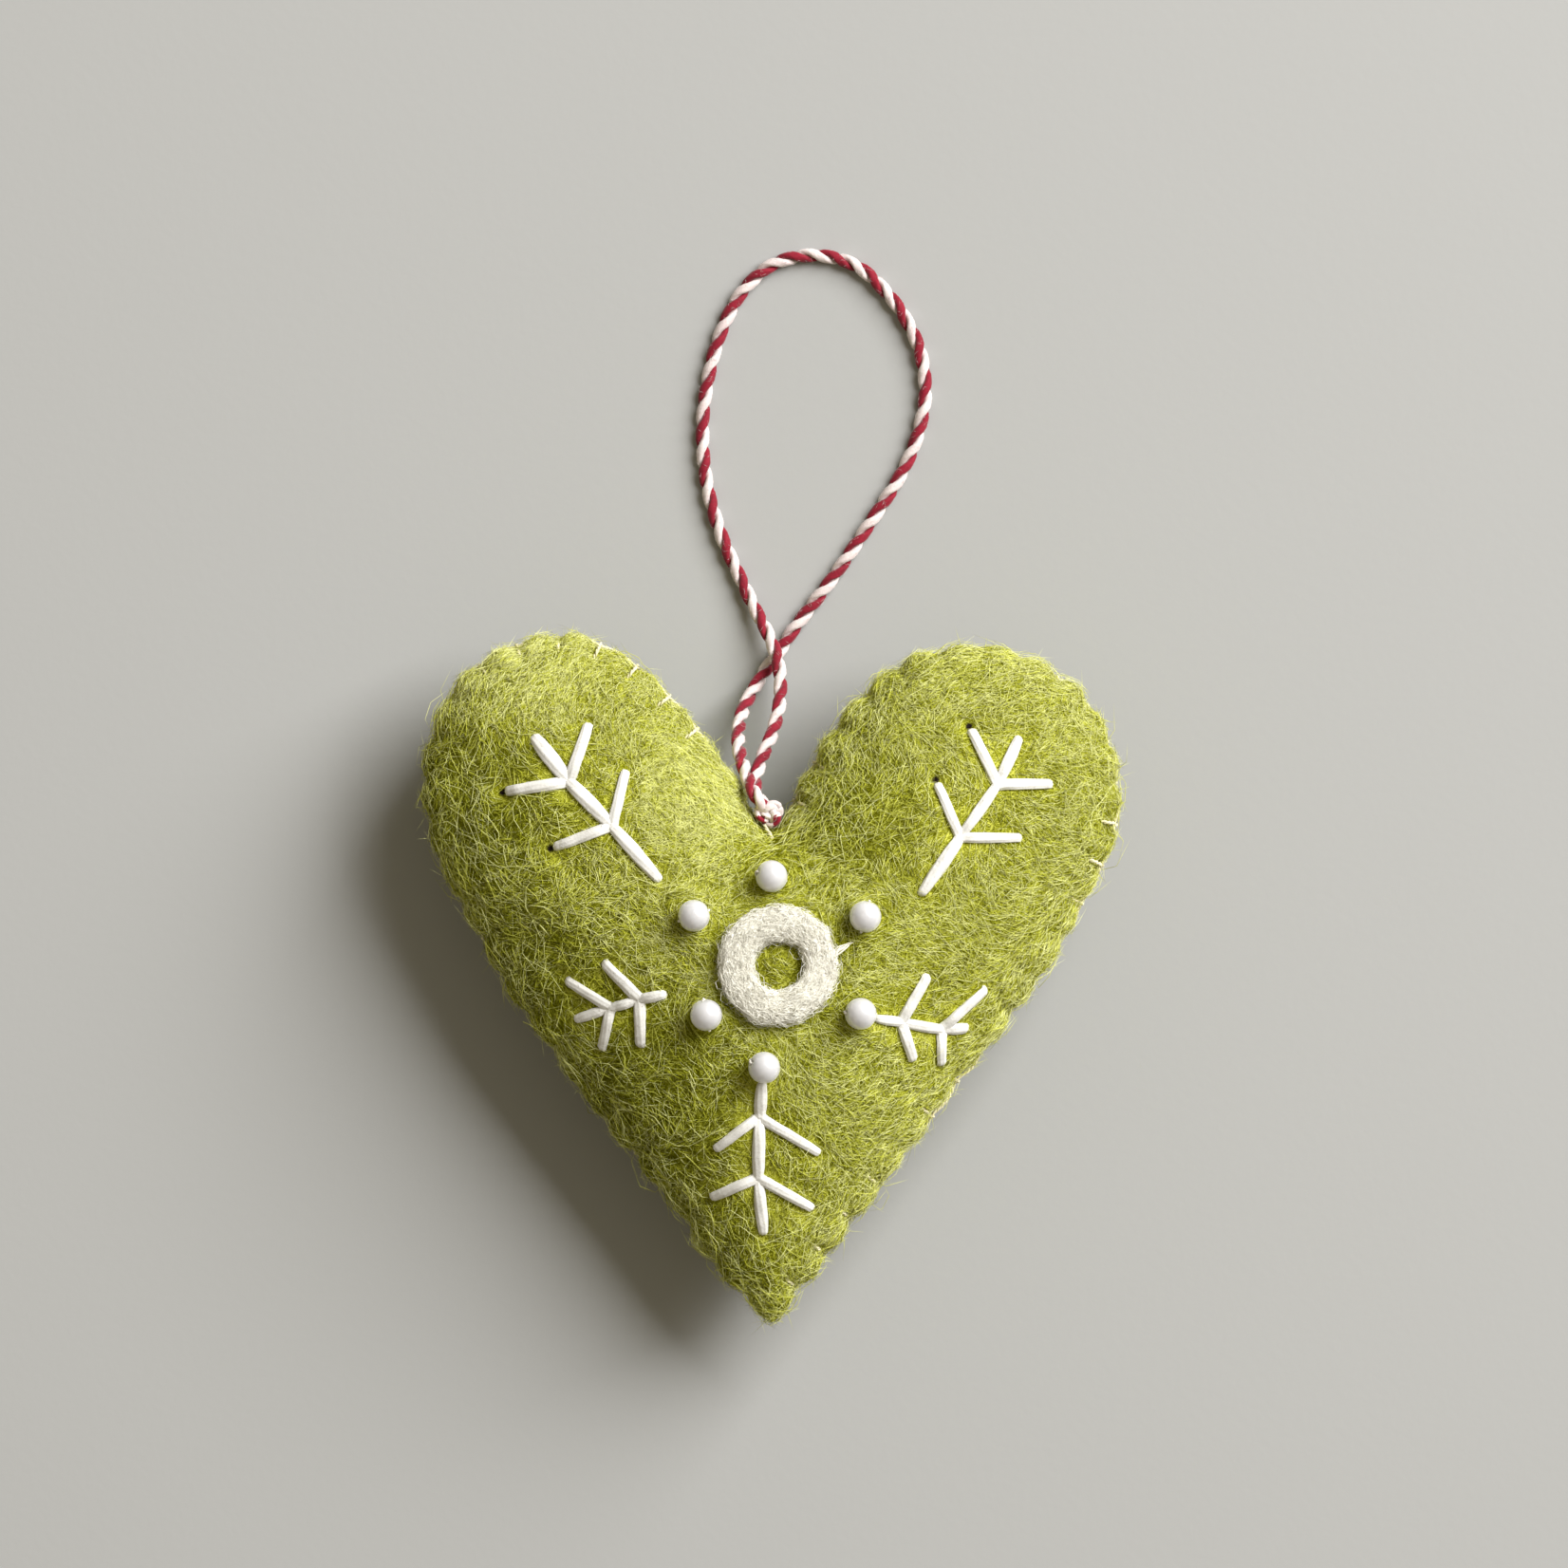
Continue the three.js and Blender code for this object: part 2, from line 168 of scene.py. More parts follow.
class Paint:
    """A material under construction."""

    def __init__(self, name: str) -> None:
        """Starts a material with one Principled shader."""
        self.material = bpy.data.materials.new(name)
        self.material.use_nodes = True
        self.tree = self.material.node_tree
        self.shader = self.tree.nodes["Principled BSDF"]

    def node(self, kind: str, settings: dict[str, Any], *values: Any, **named: Any) -> bpy.types.Node:
        """Adds a node.

        Args:
            kind: The node's type.
            settings: Its properties, set before its sockets.
            values: Numbers or fields for its first sockets.
            named: Numbers or fields for sockets by name, with _ for a space.

        Returns:
            The new node.
        """
        made = self.tree.nodes.new(kind)
        for key, value in settings.items():
            setattr(made, key, value)
        sockets = list(zip(made.inputs, values))
        sockets += [(made.inputs[name.replace("_", " ")], value) for name, value in named.items()]
        for socket, value in sockets:
            if isinstance(value, Field):
                self.tree.links.new(value.socket, socket)
            else:
                socket.default_value = value
        return made

    def field(self, kind: str, output: str, settings: dict[str, Any], *values: Any, **named: Any) -> Field:
        """Adds a node and gives one of its outputs as a field."""
        return Field(self, self.node(kind, settings, *values, **named).outputs[output])

    def vector(self, operation: str, *values: Any, output: str = "Vector") -> Field:
        """Gives the result of a Vector Math node on the values."""
        return self.field("ShaderNodeVectorMath", output, {"operation": operation}, *values)

    def place(self) -> Field:
        """Gives the place on the piece, in metres."""
        return self.field("ShaderNodeTexCoord", "Object", {})

    def turned(self, place: Field, angles: Sequence[float], scale: Sequence[float]) -> Field:
        """Gives a place turned and then scaled."""
        moved = self.field("ShaderNodeMapping", "Vector", {}, Vector=place, Rotation=angles)
        return self.field("ShaderNodeMapping", "Vector", {}, Vector=moved, Scale=scale)

    def grain(self, place: Field, size: float, detail: float = 2.0) -> Field:
        """Gives noise of a grain size in metres, or in scaled units on a scaled place."""
        return self.field("ShaderNodeTexNoise", "Fac", {}, Vector=place, Scale=1 / size, Detail=detail)

    def ramp(self, value: Field, stops: Sequence[tuple[float, Colour]]) -> Field:
        """Gives a colour for a value, by a ramp.

        Args:
            value: The field that is looked up.
            stops: Place on the ramp and colour of each stop, in order.

        Returns:
            The colour.
        """
        made = self.node("ShaderNodeValToRGB", {}, value)
        elements = made.color_ramp.elements
        while len(elements) < len(stops):
            elements.new(1.0)
        for element, (at, colour) in zip(elements, stops):
            element.position = at
            element.color = (*colour, 1.0)
        return Field(self, made.outputs["Color"])

    def mixed(self, share: Any, low: Any, high: Any) -> Field:
        """Gives a colour between two colours."""
        made = self.node("ShaderNodeMix", {"data_type": "RGBA"}, share)
        for socket, value in zip((made.inputs[6], made.inputs[7]), (low, high)):
            if isinstance(value, Field):
                self.tree.links.new(value.socket, socket)
            else:
                socket.default_value = (*value, 1.0)
        return Field(self, made.outputs[2])

    def bump(self, height: Field, strength: float, distance: float) -> Field:
        """Gives the normal of a height field."""
        return self.field(
            "ShaderNodeBump", "Normal", {}, Height=height, Strength=strength, Distance=distance
        )

    def finish(self, **values: Any) -> bpy.types.Material:
        """Sets the shader's sockets by name, with _ for a space, and gives the material."""
        for name, value in values.items():
            socket = self.shader.inputs[name.replace("_", " ")]
            if isinstance(value, Field):
                self.tree.links.new(value.socket, socket)
            elif socket.type == "RGBA":
                socket.default_value = (*value, 1.0)
            else:
                socket.default_value = value
        return self.material


@dataclass(frozen=True)
class FeltFinish:
    """Matted wool felt: fine hair lines that run every way over a cloudy ground, and painted shade in its
    needle holes.
    """

    name: str = "felt"
    ground: Colour = srgb(94, 96, 10)
    middle: Colour = srgb(136, 138, 28)
    hair: Colour = srgb(196, 198, 84)
    # The dark colour that is painted into each needle hole as its shade.
    hole: Colour = srgb(36, 28, 30)
    cloud_size: float = 6 * MM
    grain_size: float = 0.25 * MM
    hair_size: float = 0.17 * MM
    hair_stretch: float = 0.09
    hair_turns: Sequence[float] = (0.1, 0.75, 1.3, 1.9, 2.6)
    hair_edges: tuple[float, float] = (0.55, 0.8)
    sway_scale: float = 220.0
    sway: float = 1.6 * MM
    holes: Sequence[Vector] = ()
    hole_size: float = 0.62 * MM

    def hairs(self, paint: Paint, place: Field) -> Field:
        """Gives thin bright lines in several directions, from 0 to 1."""
        bent = paint.field("ShaderNodeTexNoise", "Color", {}, Vector=place, Scale=self.sway_scale, Detail=1.0)
        swayed = paint.vector("MULTIPLY_ADD", bent, (self.sway,) * 3, place)
        lines = None
        for number, turn in enumerate(self.hair_turns):
            laid = paint.turned(swayed, (0.3, 0.25 * number, turn), (1.0, self.hair_stretch, 0.6))
            line = paint.grain(laid, self.hair_size, 0.0)
            line = paint.field(
                "ShaderNodeMapRange", "Result", {"interpolation_type": "SMOOTHSTEP"}, line, *self.hair_edges
            )
            lines = line if lines is None else lines.maths("MAXIMUM", lines, line)
        return lines

    def hole_shade(self, paint: Paint, place: Field) -> Field:
        """Gives the share of painted shade: 1 in each needle hole and 0 away from it."""
        flat = paint.vector("MULTIPLY", place, (1.0, 1.0, 0.0))
        edges = (0.5 * self.hole_size, self.hole_size, 1.0, 0.0)
        found = None
        for hole in self.holes:
            away = paint.vector("DISTANCE", flat, (hole.x, hole.y, 0.0), output="Value")
            pit_shade = paint.field("ShaderNodeMapRange", "Result", {}, away, *edges)
            found = pit_shade if found is None else found.maths("MAXIMUM", found, pit_shade)
        return found

    def material(self) -> bpy.types.Material:
        """Gives the material."""
        paint = Paint(self.name)
        place = paint.place()
        hairs = self.hairs(paint, place)
        grain = paint.grain(place, self.grain_size)
        clouds = paint.grain(place, self.cloud_size, 1.0)
        shade = hairs * 0.45 + grain * 0.25 + clouds * 0.45
        colour = paint.ramp(shade, [(0.24, self.ground), (0.44, self.middle), (0.8, self.hair)])
        return paint.finish(
            # The needle holes are mixed towards the dark colour, as painted shade.
            Base_Color=paint.mixed(self.hole_shade(paint, place), colour, self.hole),
            Roughness=0.95,
            Specular_IOR_Level=0.1,
            Sheen_Weight=0.2,
            Sheen_Roughness=0.5,
            Sheen_Tint=self.middle,
            Normal=paint.bump(hairs * 0.8 + grain * 0.3, 0.7, 0.2 * MM),
        )


@dataclass(frozen=True)
class FibreFinish:
    """One tone of loose wool or cotton fibre, plain all over."""

    name: str
    colour: Colour
    sheen: float = 0.2

    def material(self) -> bpy.types.Material:
        """Gives the material."""
        return Paint(self.name).finish(
            Base_Color=self.colour,
            Roughness=0.85,
            Specular_IOR_Level=0.1,
            Sheen_Weight=self.sheen,
            Sheen_Roughness=0.4,
            Sheen_Tint=self.colour,
        )


@dataclass(frozen=True)
class ThreadFinish:
    """Cotton thread: fine lint over soft plies."""

    name: str
    colour: Colour
    shade: Colour
    grain_size: float = 0.25 * MM

    def material(self) -> bpy.types.Material:
        """Gives the material."""
        paint = Paint(self.name)
        place = paint.place()
        lint = paint.grain(place, self.grain_size, 3.0)
        clouds = paint.grain(place, 2.5 * MM, 2.0)
        share = 2.0 * (lint * 0.6 + clouds * 0.5) - 0.55
        return paint.finish(
            Base_Color=paint.mixed(share, self.shade, self.colour),
            Roughness=0.75,
            Specular_IOR_Level=0.25,
            Sheen_Weight=0.3,
            Sheen_Roughness=0.45,
            Normal=paint.bump(lint, 0.35, 0.1 * MM),
        )


@dataclass(frozen=True)
class WoolFinish:
    """Needle-felted cream wool, with painted shade in the hollows of its bumps."""

    name: str = "ring_wool"
    colour: Colour = srgb(252, 249, 236)
    # The darker colour is painted shade for the hollows.
    pit_shade: Colour = srgb(240, 236, 218)

    def material(self) -> bpy.types.Material:
        """Gives the material."""
        paint = Paint(self.name)
        place = paint.place()
        tufts = paint.grain(place, 0.9 * MM, 3.0)
        lint = paint.grain(place, 0.25 * MM, 2.0)
        # The colour follows the bump's height, so the hollows are painted darker as their shade.
        share = 2.4 * (tufts * 0.7 + lint * 0.3) - 0.6
        return paint.finish(
            Base_Color=paint.mixed(share, self.pit_shade, self.colour),
            Roughness=0.95,
            Specular_IOR_Level=0.15,
            Sheen_Weight=0.3,
            Normal=paint.bump(tufts * 0.5 + lint * 0.5, 0.4, 0.2 * MM),
        )


@dataclass(frozen=True)
class PearlFinish:
    """A pearl coat: milky, with a soft sheen and faint clouds."""

    name: str = "pearl"
    colour: Colour = srgb(212, 212, 215)
    cloud: Colour = srgb(197, 197, 202)

    def material(self) -> bpy.types.Material:
        """Gives the material."""
        paint = Paint(self.name)
        place = paint.place()
        clouds = paint.grain(place, 1.6 * MM, 2.0)
        speck = paint.grain(place, 0.2 * MM, 1.0)
        return paint.finish(
            Base_Color=paint.mixed(clouds, self.cloud, self.colour),
            Roughness=0.26 + speck * 0.08,
            Metallic=0.1,
            Specular_IOR_Level=0.5,
            Subsurface_Weight=0.9,
            Subsurface_Scale=3.0 * MM,
            Subsurface_Radius=(1.0, 0.95, 0.9),
            Sheen_Weight=0.6,
            Sheen_Roughness=0.35,
            Coat_Weight=0.5,
            Coat_Roughness=0.15,
            Normal=paint.bump(clouds, 0.05, 0.05 * MM),
        )


@dataclass(frozen=True)
class FloorFinish:
    """A plain pale table."""

    name: str = "table"
    colour: Colour = srgb(164, 165, 165)

    def material(self) -> bpy.types.Material:
        """Gives the material."""
        paint = Paint(self.name)
        grain = paint.grain(paint.place(), 1.2 * MM, 3.0)
        return paint.finish(
            Base_Color=self.colour, Roughness=0.9, Normal=paint.bump(grain, 0.15, 0.1 * MM)
        )


def linked(name: str, data: Any) -> bpy.types.Object:
    """Puts a new object into the scene."""
    made = bpy.data.objects.new(name, data)
    bpy.context.scene.collection.objects.link(made)
    return made


def piece_of(mesh: bpy.types.Mesh, name: str, materials: Iterable[bpy.types.Material]) -> Any:
    """Puts a finished mesh into the scene as a piece of the object.

    Args:
        mesh: The mesh, in the row's frame.
        name: The piece's name.
        materials: The piece's materials, in the order of its faces' material numbers.

    Returns:
        The object.
    """
    mesh.name = name
    if mesh.materials:
        mesh.materials.clear()
    for material in materials:
        mesh.materials.append(material)
    made = linked(name, mesh)
    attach(made, "root")
    mesh.calc_loop_triangles()
    log.info("%s: %d triangles", name, len(mesh.loop_triangles))
    return made


def smoothed(bm: bmesh.types.BMesh) -> bpy.types.Mesh:
    """Turns a bmesh into a smooth-shaded mesh with its faces outwards, and frees it."""
    bmesh.ops.recalc_face_normals(bm, faces=bm.faces)
    for face in bm.faces:
        face.smooth = True
    mesh = bpy.data.meshes.new("work")
    bm.to_mesh(mesh)
    bm.free()
    return mesh


def merged(node: str) -> bpy.types.Mesh:
    """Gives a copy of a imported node's mesh, with its loose triangles joined."""
    bm = bmesh.new()
    bm.from_mesh(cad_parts[node].data)
    bmesh.ops.remove_doubles(bm, verts=bm.verts, dist=0.005 * MM)
    return smoothed(bm)


def middle_of(node: str) -> Vector:
    """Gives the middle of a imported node's box."""
    low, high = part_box(node)
    return (low + high) / 2


def half_width(node: str) -> float:
    """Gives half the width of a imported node's box."""
    low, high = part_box(node)
    return (high.x - low.x) / 2


def rows_of(parts: Any, name: str) -> np.ndarray:
    """Gives a property of three numbers that a mesh's parts have, in rows."""
    flat = np.empty(len(parts) * 3)
    parts.foreach_get(name, flat)
    return flat.reshape(-1, 3)


def places_of(mesh: bpy.types.Mesh) -> np.ndarray:
    """Gives a mesh's vertices as rows of three numbers."""
    return rows_of(mesh.vertices, "co")


def normals_of(mesh: bpy.types.Mesh) -> np.ndarray:
    """Gives the outward direction at each of a mesh's vertices."""
    return rows_of(mesh.vertex_normals, "vector")


def move_to(mesh: bpy.types.Mesh, places: np.ndarray) -> None:
    """Moves a mesh's vertices to new places."""
    mesh.vertices.foreach_set("co", places.ravel())
    mesh.update()


def away_from(places: np.ndarray, x: float, y: float) -> np.ndarray:
    """Gives how far each place is from an upright line at x and y."""
    return np.hypot(places[:, 0] - x, places[:, 1] - y)


def applied(made: bpy.types.Object) -> bpy.types.Mesh:
    """Gives a new mesh of an object with its modifiers applied."""
    graph = bpy.context.evaluated_depsgraph_get()
    return bpy.data.meshes.new_from_object(made.evaluated_get(graph), depsgraph=graph)


def reshaped(mesh: bpy.types.Mesh, kind: str, **settings: Any) -> bpy.types.Mesh:
    """Gives a new mesh, made from another by one modifier with the given settings."""
    work = linked("work", mesh)
    modifier = work.modifiers.new("work", kind)
    for name, value in settings.items():
        setattr(modifier, name, value)
    result = applied(work)
    bpy.data.objects.remove(work)
    return result


def unit(rows: np.ndarray) -> np.ndarray:
    """Gives rows of vectors at length one."""
    return rows / np.maximum(np.linalg.norm(rows, axis=-1, keepdims=True), 1e-12)


class Line:
    """A smooth line through chosen points, in even steps, with a side and an up direction at each."""

    def __init__(self, points: Sequence[Sequence[float]], step: float, closed: bool = False) -> None:
        """Draws the line.

        Args:
            points: What the line passes through, in metres.
            step: About how far apart its own points are.
            closed: Whether its end runs on into its start.
        """
        knots = np.array(points, float)
        if closed:
            knots = np.vstack([knots[-1:], knots, knots[:2]])
        else:
            knots = np.vstack([2 * knots[0] - knots[1], knots, 2 * knots[-1] - knots[-2]])
        fine = self.through(knots)
        lengths = np.concatenate([[0], np.cumsum(np.linalg.norm(np.diff(fine, axis=0), axis=1))])
        count = max(4, round(lengths[-1] / step))
        self.run = np.linspace(0, lengths[-1], count + 1)
        self.points = np.column_stack([np.interp(self.run, lengths, fine[:, axis]) for axis in range(3)])
        self.along = unit(np.gradient(self.points, axis=0))
        if closed:
            self.along[0] = self.along[-1] = unit(self.along[0] + self.along[-1])
        self.side, self.up = self.carried()

    @staticmethod
    def through(knots: np.ndarray, pieces: int = 16) -> np.ndarray:
        """Gives fine points of a centripetal spline between the second knot and the last but one."""
        rows = []
        for i in range(1, len(knots) - 2):
            p = knots[i - 1 : i + 3]
            gaps = np.maximum(np.sqrt(np.linalg.norm(np.diff(p, axis=0), axis=1)), 1e-9)
            t = np.concatenate([[0], np.cumsum(gaps)])
            at = np.linspace(t[1], t[2], pieces, endpoint=False)[:, None]

            def blend(a: np.ndarray, b: np.ndarray, low: float, high: float) -> np.ndarray:
                """Mixes two rows of points by how far each time is from low to high."""
                return a * (high - at) / (high - low) + b * (at - low) / (high - low)

            first, second, third = (blend(p[k], p[k + 1], t[k], t[k + 1]) for k in range(3))
            early = blend(first, second, t[0], t[2])
            late = blend(second, third, t[1], t[3])
            rows.append(blend(early, late, t[1], t[2]))
        return np.vstack([*rows, knots[-2]])

    def carried(self) -> tuple[np.ndarray, np.ndarray]:
        """Gives side and up directions that turn no more than the line does."""
        up = Vector((0, 0, 1))
        ups = []
        for along in self.along:
            direction = Vector(along)
            up = up - direction * up.dot(direction)
            if up.length < 1e-6:
                up = direction.orthogonal()
            up.normalize()
            ups.append(up.copy())
        rows = np.array(ups)
        return unit(np.cross(self.along, rows)), rows

    def facing(self, normals: np.ndarray) -> "Line":
        """Turns the up directions towards given normals."""
        across = normals - self.along * np.sum(normals * self.along, axis=1, keepdims=True)
        self.up = unit(across)
        self.side = unit(np.cross(self.along, self.up))
        return self


@dataclass
class Ply:
    """One ply of a thread: where its middle runs round the thread's line, and its soft section."""

    radius: float
    offset: float = 0.0
    phase: float = 0.0
    pitch: float = 0.0
    width: float = 1.0
    lobes: int = 0
    lobe_depth: float = 0.0
    lobe_pitch: float = 1.0
    sides: int = 12

    def mesh(self, line: Line, size: np.ndarray, flat: float, material: int) -> bmesh.types.BMesh:
        """Sweeps the ply along a line.

        Args:
            line: The middle of the thread.
            size: The thread's thickness at each point, as a share of its full one.
            flat: How high its section is, as a share of its width.
            material: The number of its material.

        Returns:
            A closed tube.
        """
        count = len(line.points) - 1
        tube = bmesh.new()
        bmesh.ops.create_grid(tube, x_segments=count, y_segments=self.sides, size=0.5)
        at = np.array([vertex.co for vertex in tube.verts])
        i = np.rint((at[:, 0] + 0.5) * count).astype(int)
        angle = np.rint((at[:, 1] + 0.5) * self.sides) * 2 * math.pi / self.sides
        turn = self.phase + (2 * math.pi * line.run / self.pitch if self.pitch else 0 * line.run)
        lobes = 1 + self.lobe_depth * np.cos(
            self.lobes * (angle - 2 * math.pi * line.run[i] / self.lobe_pitch)
        )
        out = self.offset + self.radius * lobes * np.cos(angle)
        aside = self.radius * self.width * lobes * np.sin(angle)
        x = (out * np.cos(turn[i]) - aside * np.sin(turn[i])) * size[i]
        y = (out * np.sin(turn[i]) + aside * np.cos(turn[i])) * size[i] * flat
        places = line.points[i] + x[:, None] * line.side[i] + y[:, None] * line.up[i]
        for vertex, place in zip(tube.verts, places):
            vertex.co = place
        bmesh.ops.remove_doubles(tube, verts=tube.verts, dist=1e-7)
        open_edges = [edge for edge in tube.edges if edge.is_boundary]
        bmesh.ops.holes_fill(tube, edges=open_edges, sides=0)
        for face in tube.faces:
            face.material_index = material
        bmesh.ops.recalc_face_normals(tube, faces=tube.faces)
        return tube


@dataclass
class Thread:
    """A thread or twine: its plies, and how it is flattened and thinned at its ends."""

    plies: Sequence[Ply]
    flat: float = 1.0
    end_size: float = 1.0
    fullness: float = 0.5

    def lay(self, bm: bmesh.types.BMesh, line: Line, materials: Sequence[int] = (0, 0)) -> None:
        """Adds the thread along a line to a mesh under construction.

        Args:
            bm: The mesh that takes the thread.
            line: The thread's middle.
            materials: Each ply's material number.
        """
        belly = np.maximum(np.sin(math.pi * line.run / line.run[-1]), 0) ** self.fullness
        size = self.end_size + (1 - self.end_size) * belly
        for ply, material in zip(self.plies, materials):
            tube = ply.mesh(line, size, self.flat, material)
            carrier = bpy.data.meshes.new("ply")
            tube.to_mesh(carrier)
            tube.free()
            bm.from_mesh(carrier)
            bpy.data.meshes.remove(carrier)


def two_plies(**settings: Any) -> list[Ply]:
    """Gives the two plies of a twisted thread, opposite each other."""
    return [Ply(phase=phase, **settings) for phase in (0.0, math.pi)]


def sewing_thread(diameter: float, pitch: float, sides: int) -> Thread:
    """Gives fine two-ply sewing thread."""
    radius, offset = 0.26 * diameter, 0.23 * diameter
    return Thread(two_plies(radius=radius, offset=offset, pitch=pitch, width=1.3, sides=sides))


@dataclass
class HeartPlan:
    """The heart seen from its front: how shares of its size become places, and where its edge is sewn."""

    half_width: float = 44.4 * MM
    half_height: float = 43.7 * MM
    centre_share: Share = (0.019, 0.041)
    felt_thickness: float = 1.5 * MM
    points_per_stitch: int = 3
    nearer: float = 0.01
    edge: np.ndarray = field(init=False)
    inward: np.ndarray = field(init=False)
    stitched: np.ndarray = field(init=False)
    seam_height: float = field(init=False)

    def __post_init__(self) -> None:
        """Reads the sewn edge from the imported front."""
        front_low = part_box("front_felt")[0].z
        back_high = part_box("back_felt")[1].z
        self.seam_height = (front_low + back_high) / 2
        places = places_of(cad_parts["front_felt"].data)
        rim = places[np.abs(places[:, 2] - front_low - self.felt_thickness) < 0.02 * MM][:, :2]
        rim = np.unique(np.round(rim, 7), axis=0)
        middle = self.place(self.centre_share)
        order = np.argsort(np.arctan2(rim[:, 1] - middle.y, rim[:, 0] - middle.x))
        self.edge = rim[order]
        along = unit(np.roll(self.edge, -1, axis=0) - np.roll(self.edge, 1, axis=0))
        self.inward = np.column_stack([-along[:, 1], along[:, 0]])
        chords = (np.roll(self.edge, -1, axis=0) + np.roll(self.edge, 1, axis=0)) / 2
        dents = np.sum((self.edge - chords) * self.inward, axis=1)
        depth = [dents[phase :: self.points_per_stitch].sum() for phase in range(self.points_per_stitch)]
        stitched = np.arange(int(np.argmax(depth)), len(self.edge), self.points_per_stitch)
        sharp = (np.abs(self.edge[stitched, 0]) < 2 * MM) & (
            (self.edge[stitched, 1] < -0.97 * self.half_height) | (self.edge[stitched, 1] > 0)
        )
        self.stitched = stitched[~sharp]

    def place(self, share: Share) -> Vector:
        """Gives the place of a share of the heart's half width and half height."""
        return Vector((share[0] * self.half_width, share[1] * self.half_height))

    def on_top(self, at: Vector) -> Vector:
        """Draws a flat place on top of the front in towards the view's middle, as it is nearer to the eye."""
        return at - (at - Vector(VIEW_CENTRE)) * self.nearer


class Surface:
    """A mesh that other pieces are laid on."""

    def __init__(self, mesh: bpy.types.Mesh) -> None:
        """Reads the mesh once."""
        self.mesh = mesh
        bm = bmesh.new()
        bm.from_mesh(mesh)
        self.tree = BVHTree.FromBMesh(bm)
        bm.free()

    def under(self, x: float, y: float, down: float = -1.0) -> tuple[Vector, Vector]:
        """Gives the place and outward direction of the surface met from above, or from below.

        Args:
            x: Where to look, to the right.
            y: Where to look, towards the loop.
            down: -1 to look down on the surface, 1 to look up at it.

        Returns:
            The place and the normal, or the nearest ones if the look misses.
        """
        start = Vector((x, y, -down * 100 * MM))
        place, normal, _, _ = self.tree.ray_cast(start, Vector((0, 0, down)))
        if place is None:
            place, normal, _, _ = self.tree.find_nearest(Vector((x, y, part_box("front_felt")[0].z)))
        return place, normal


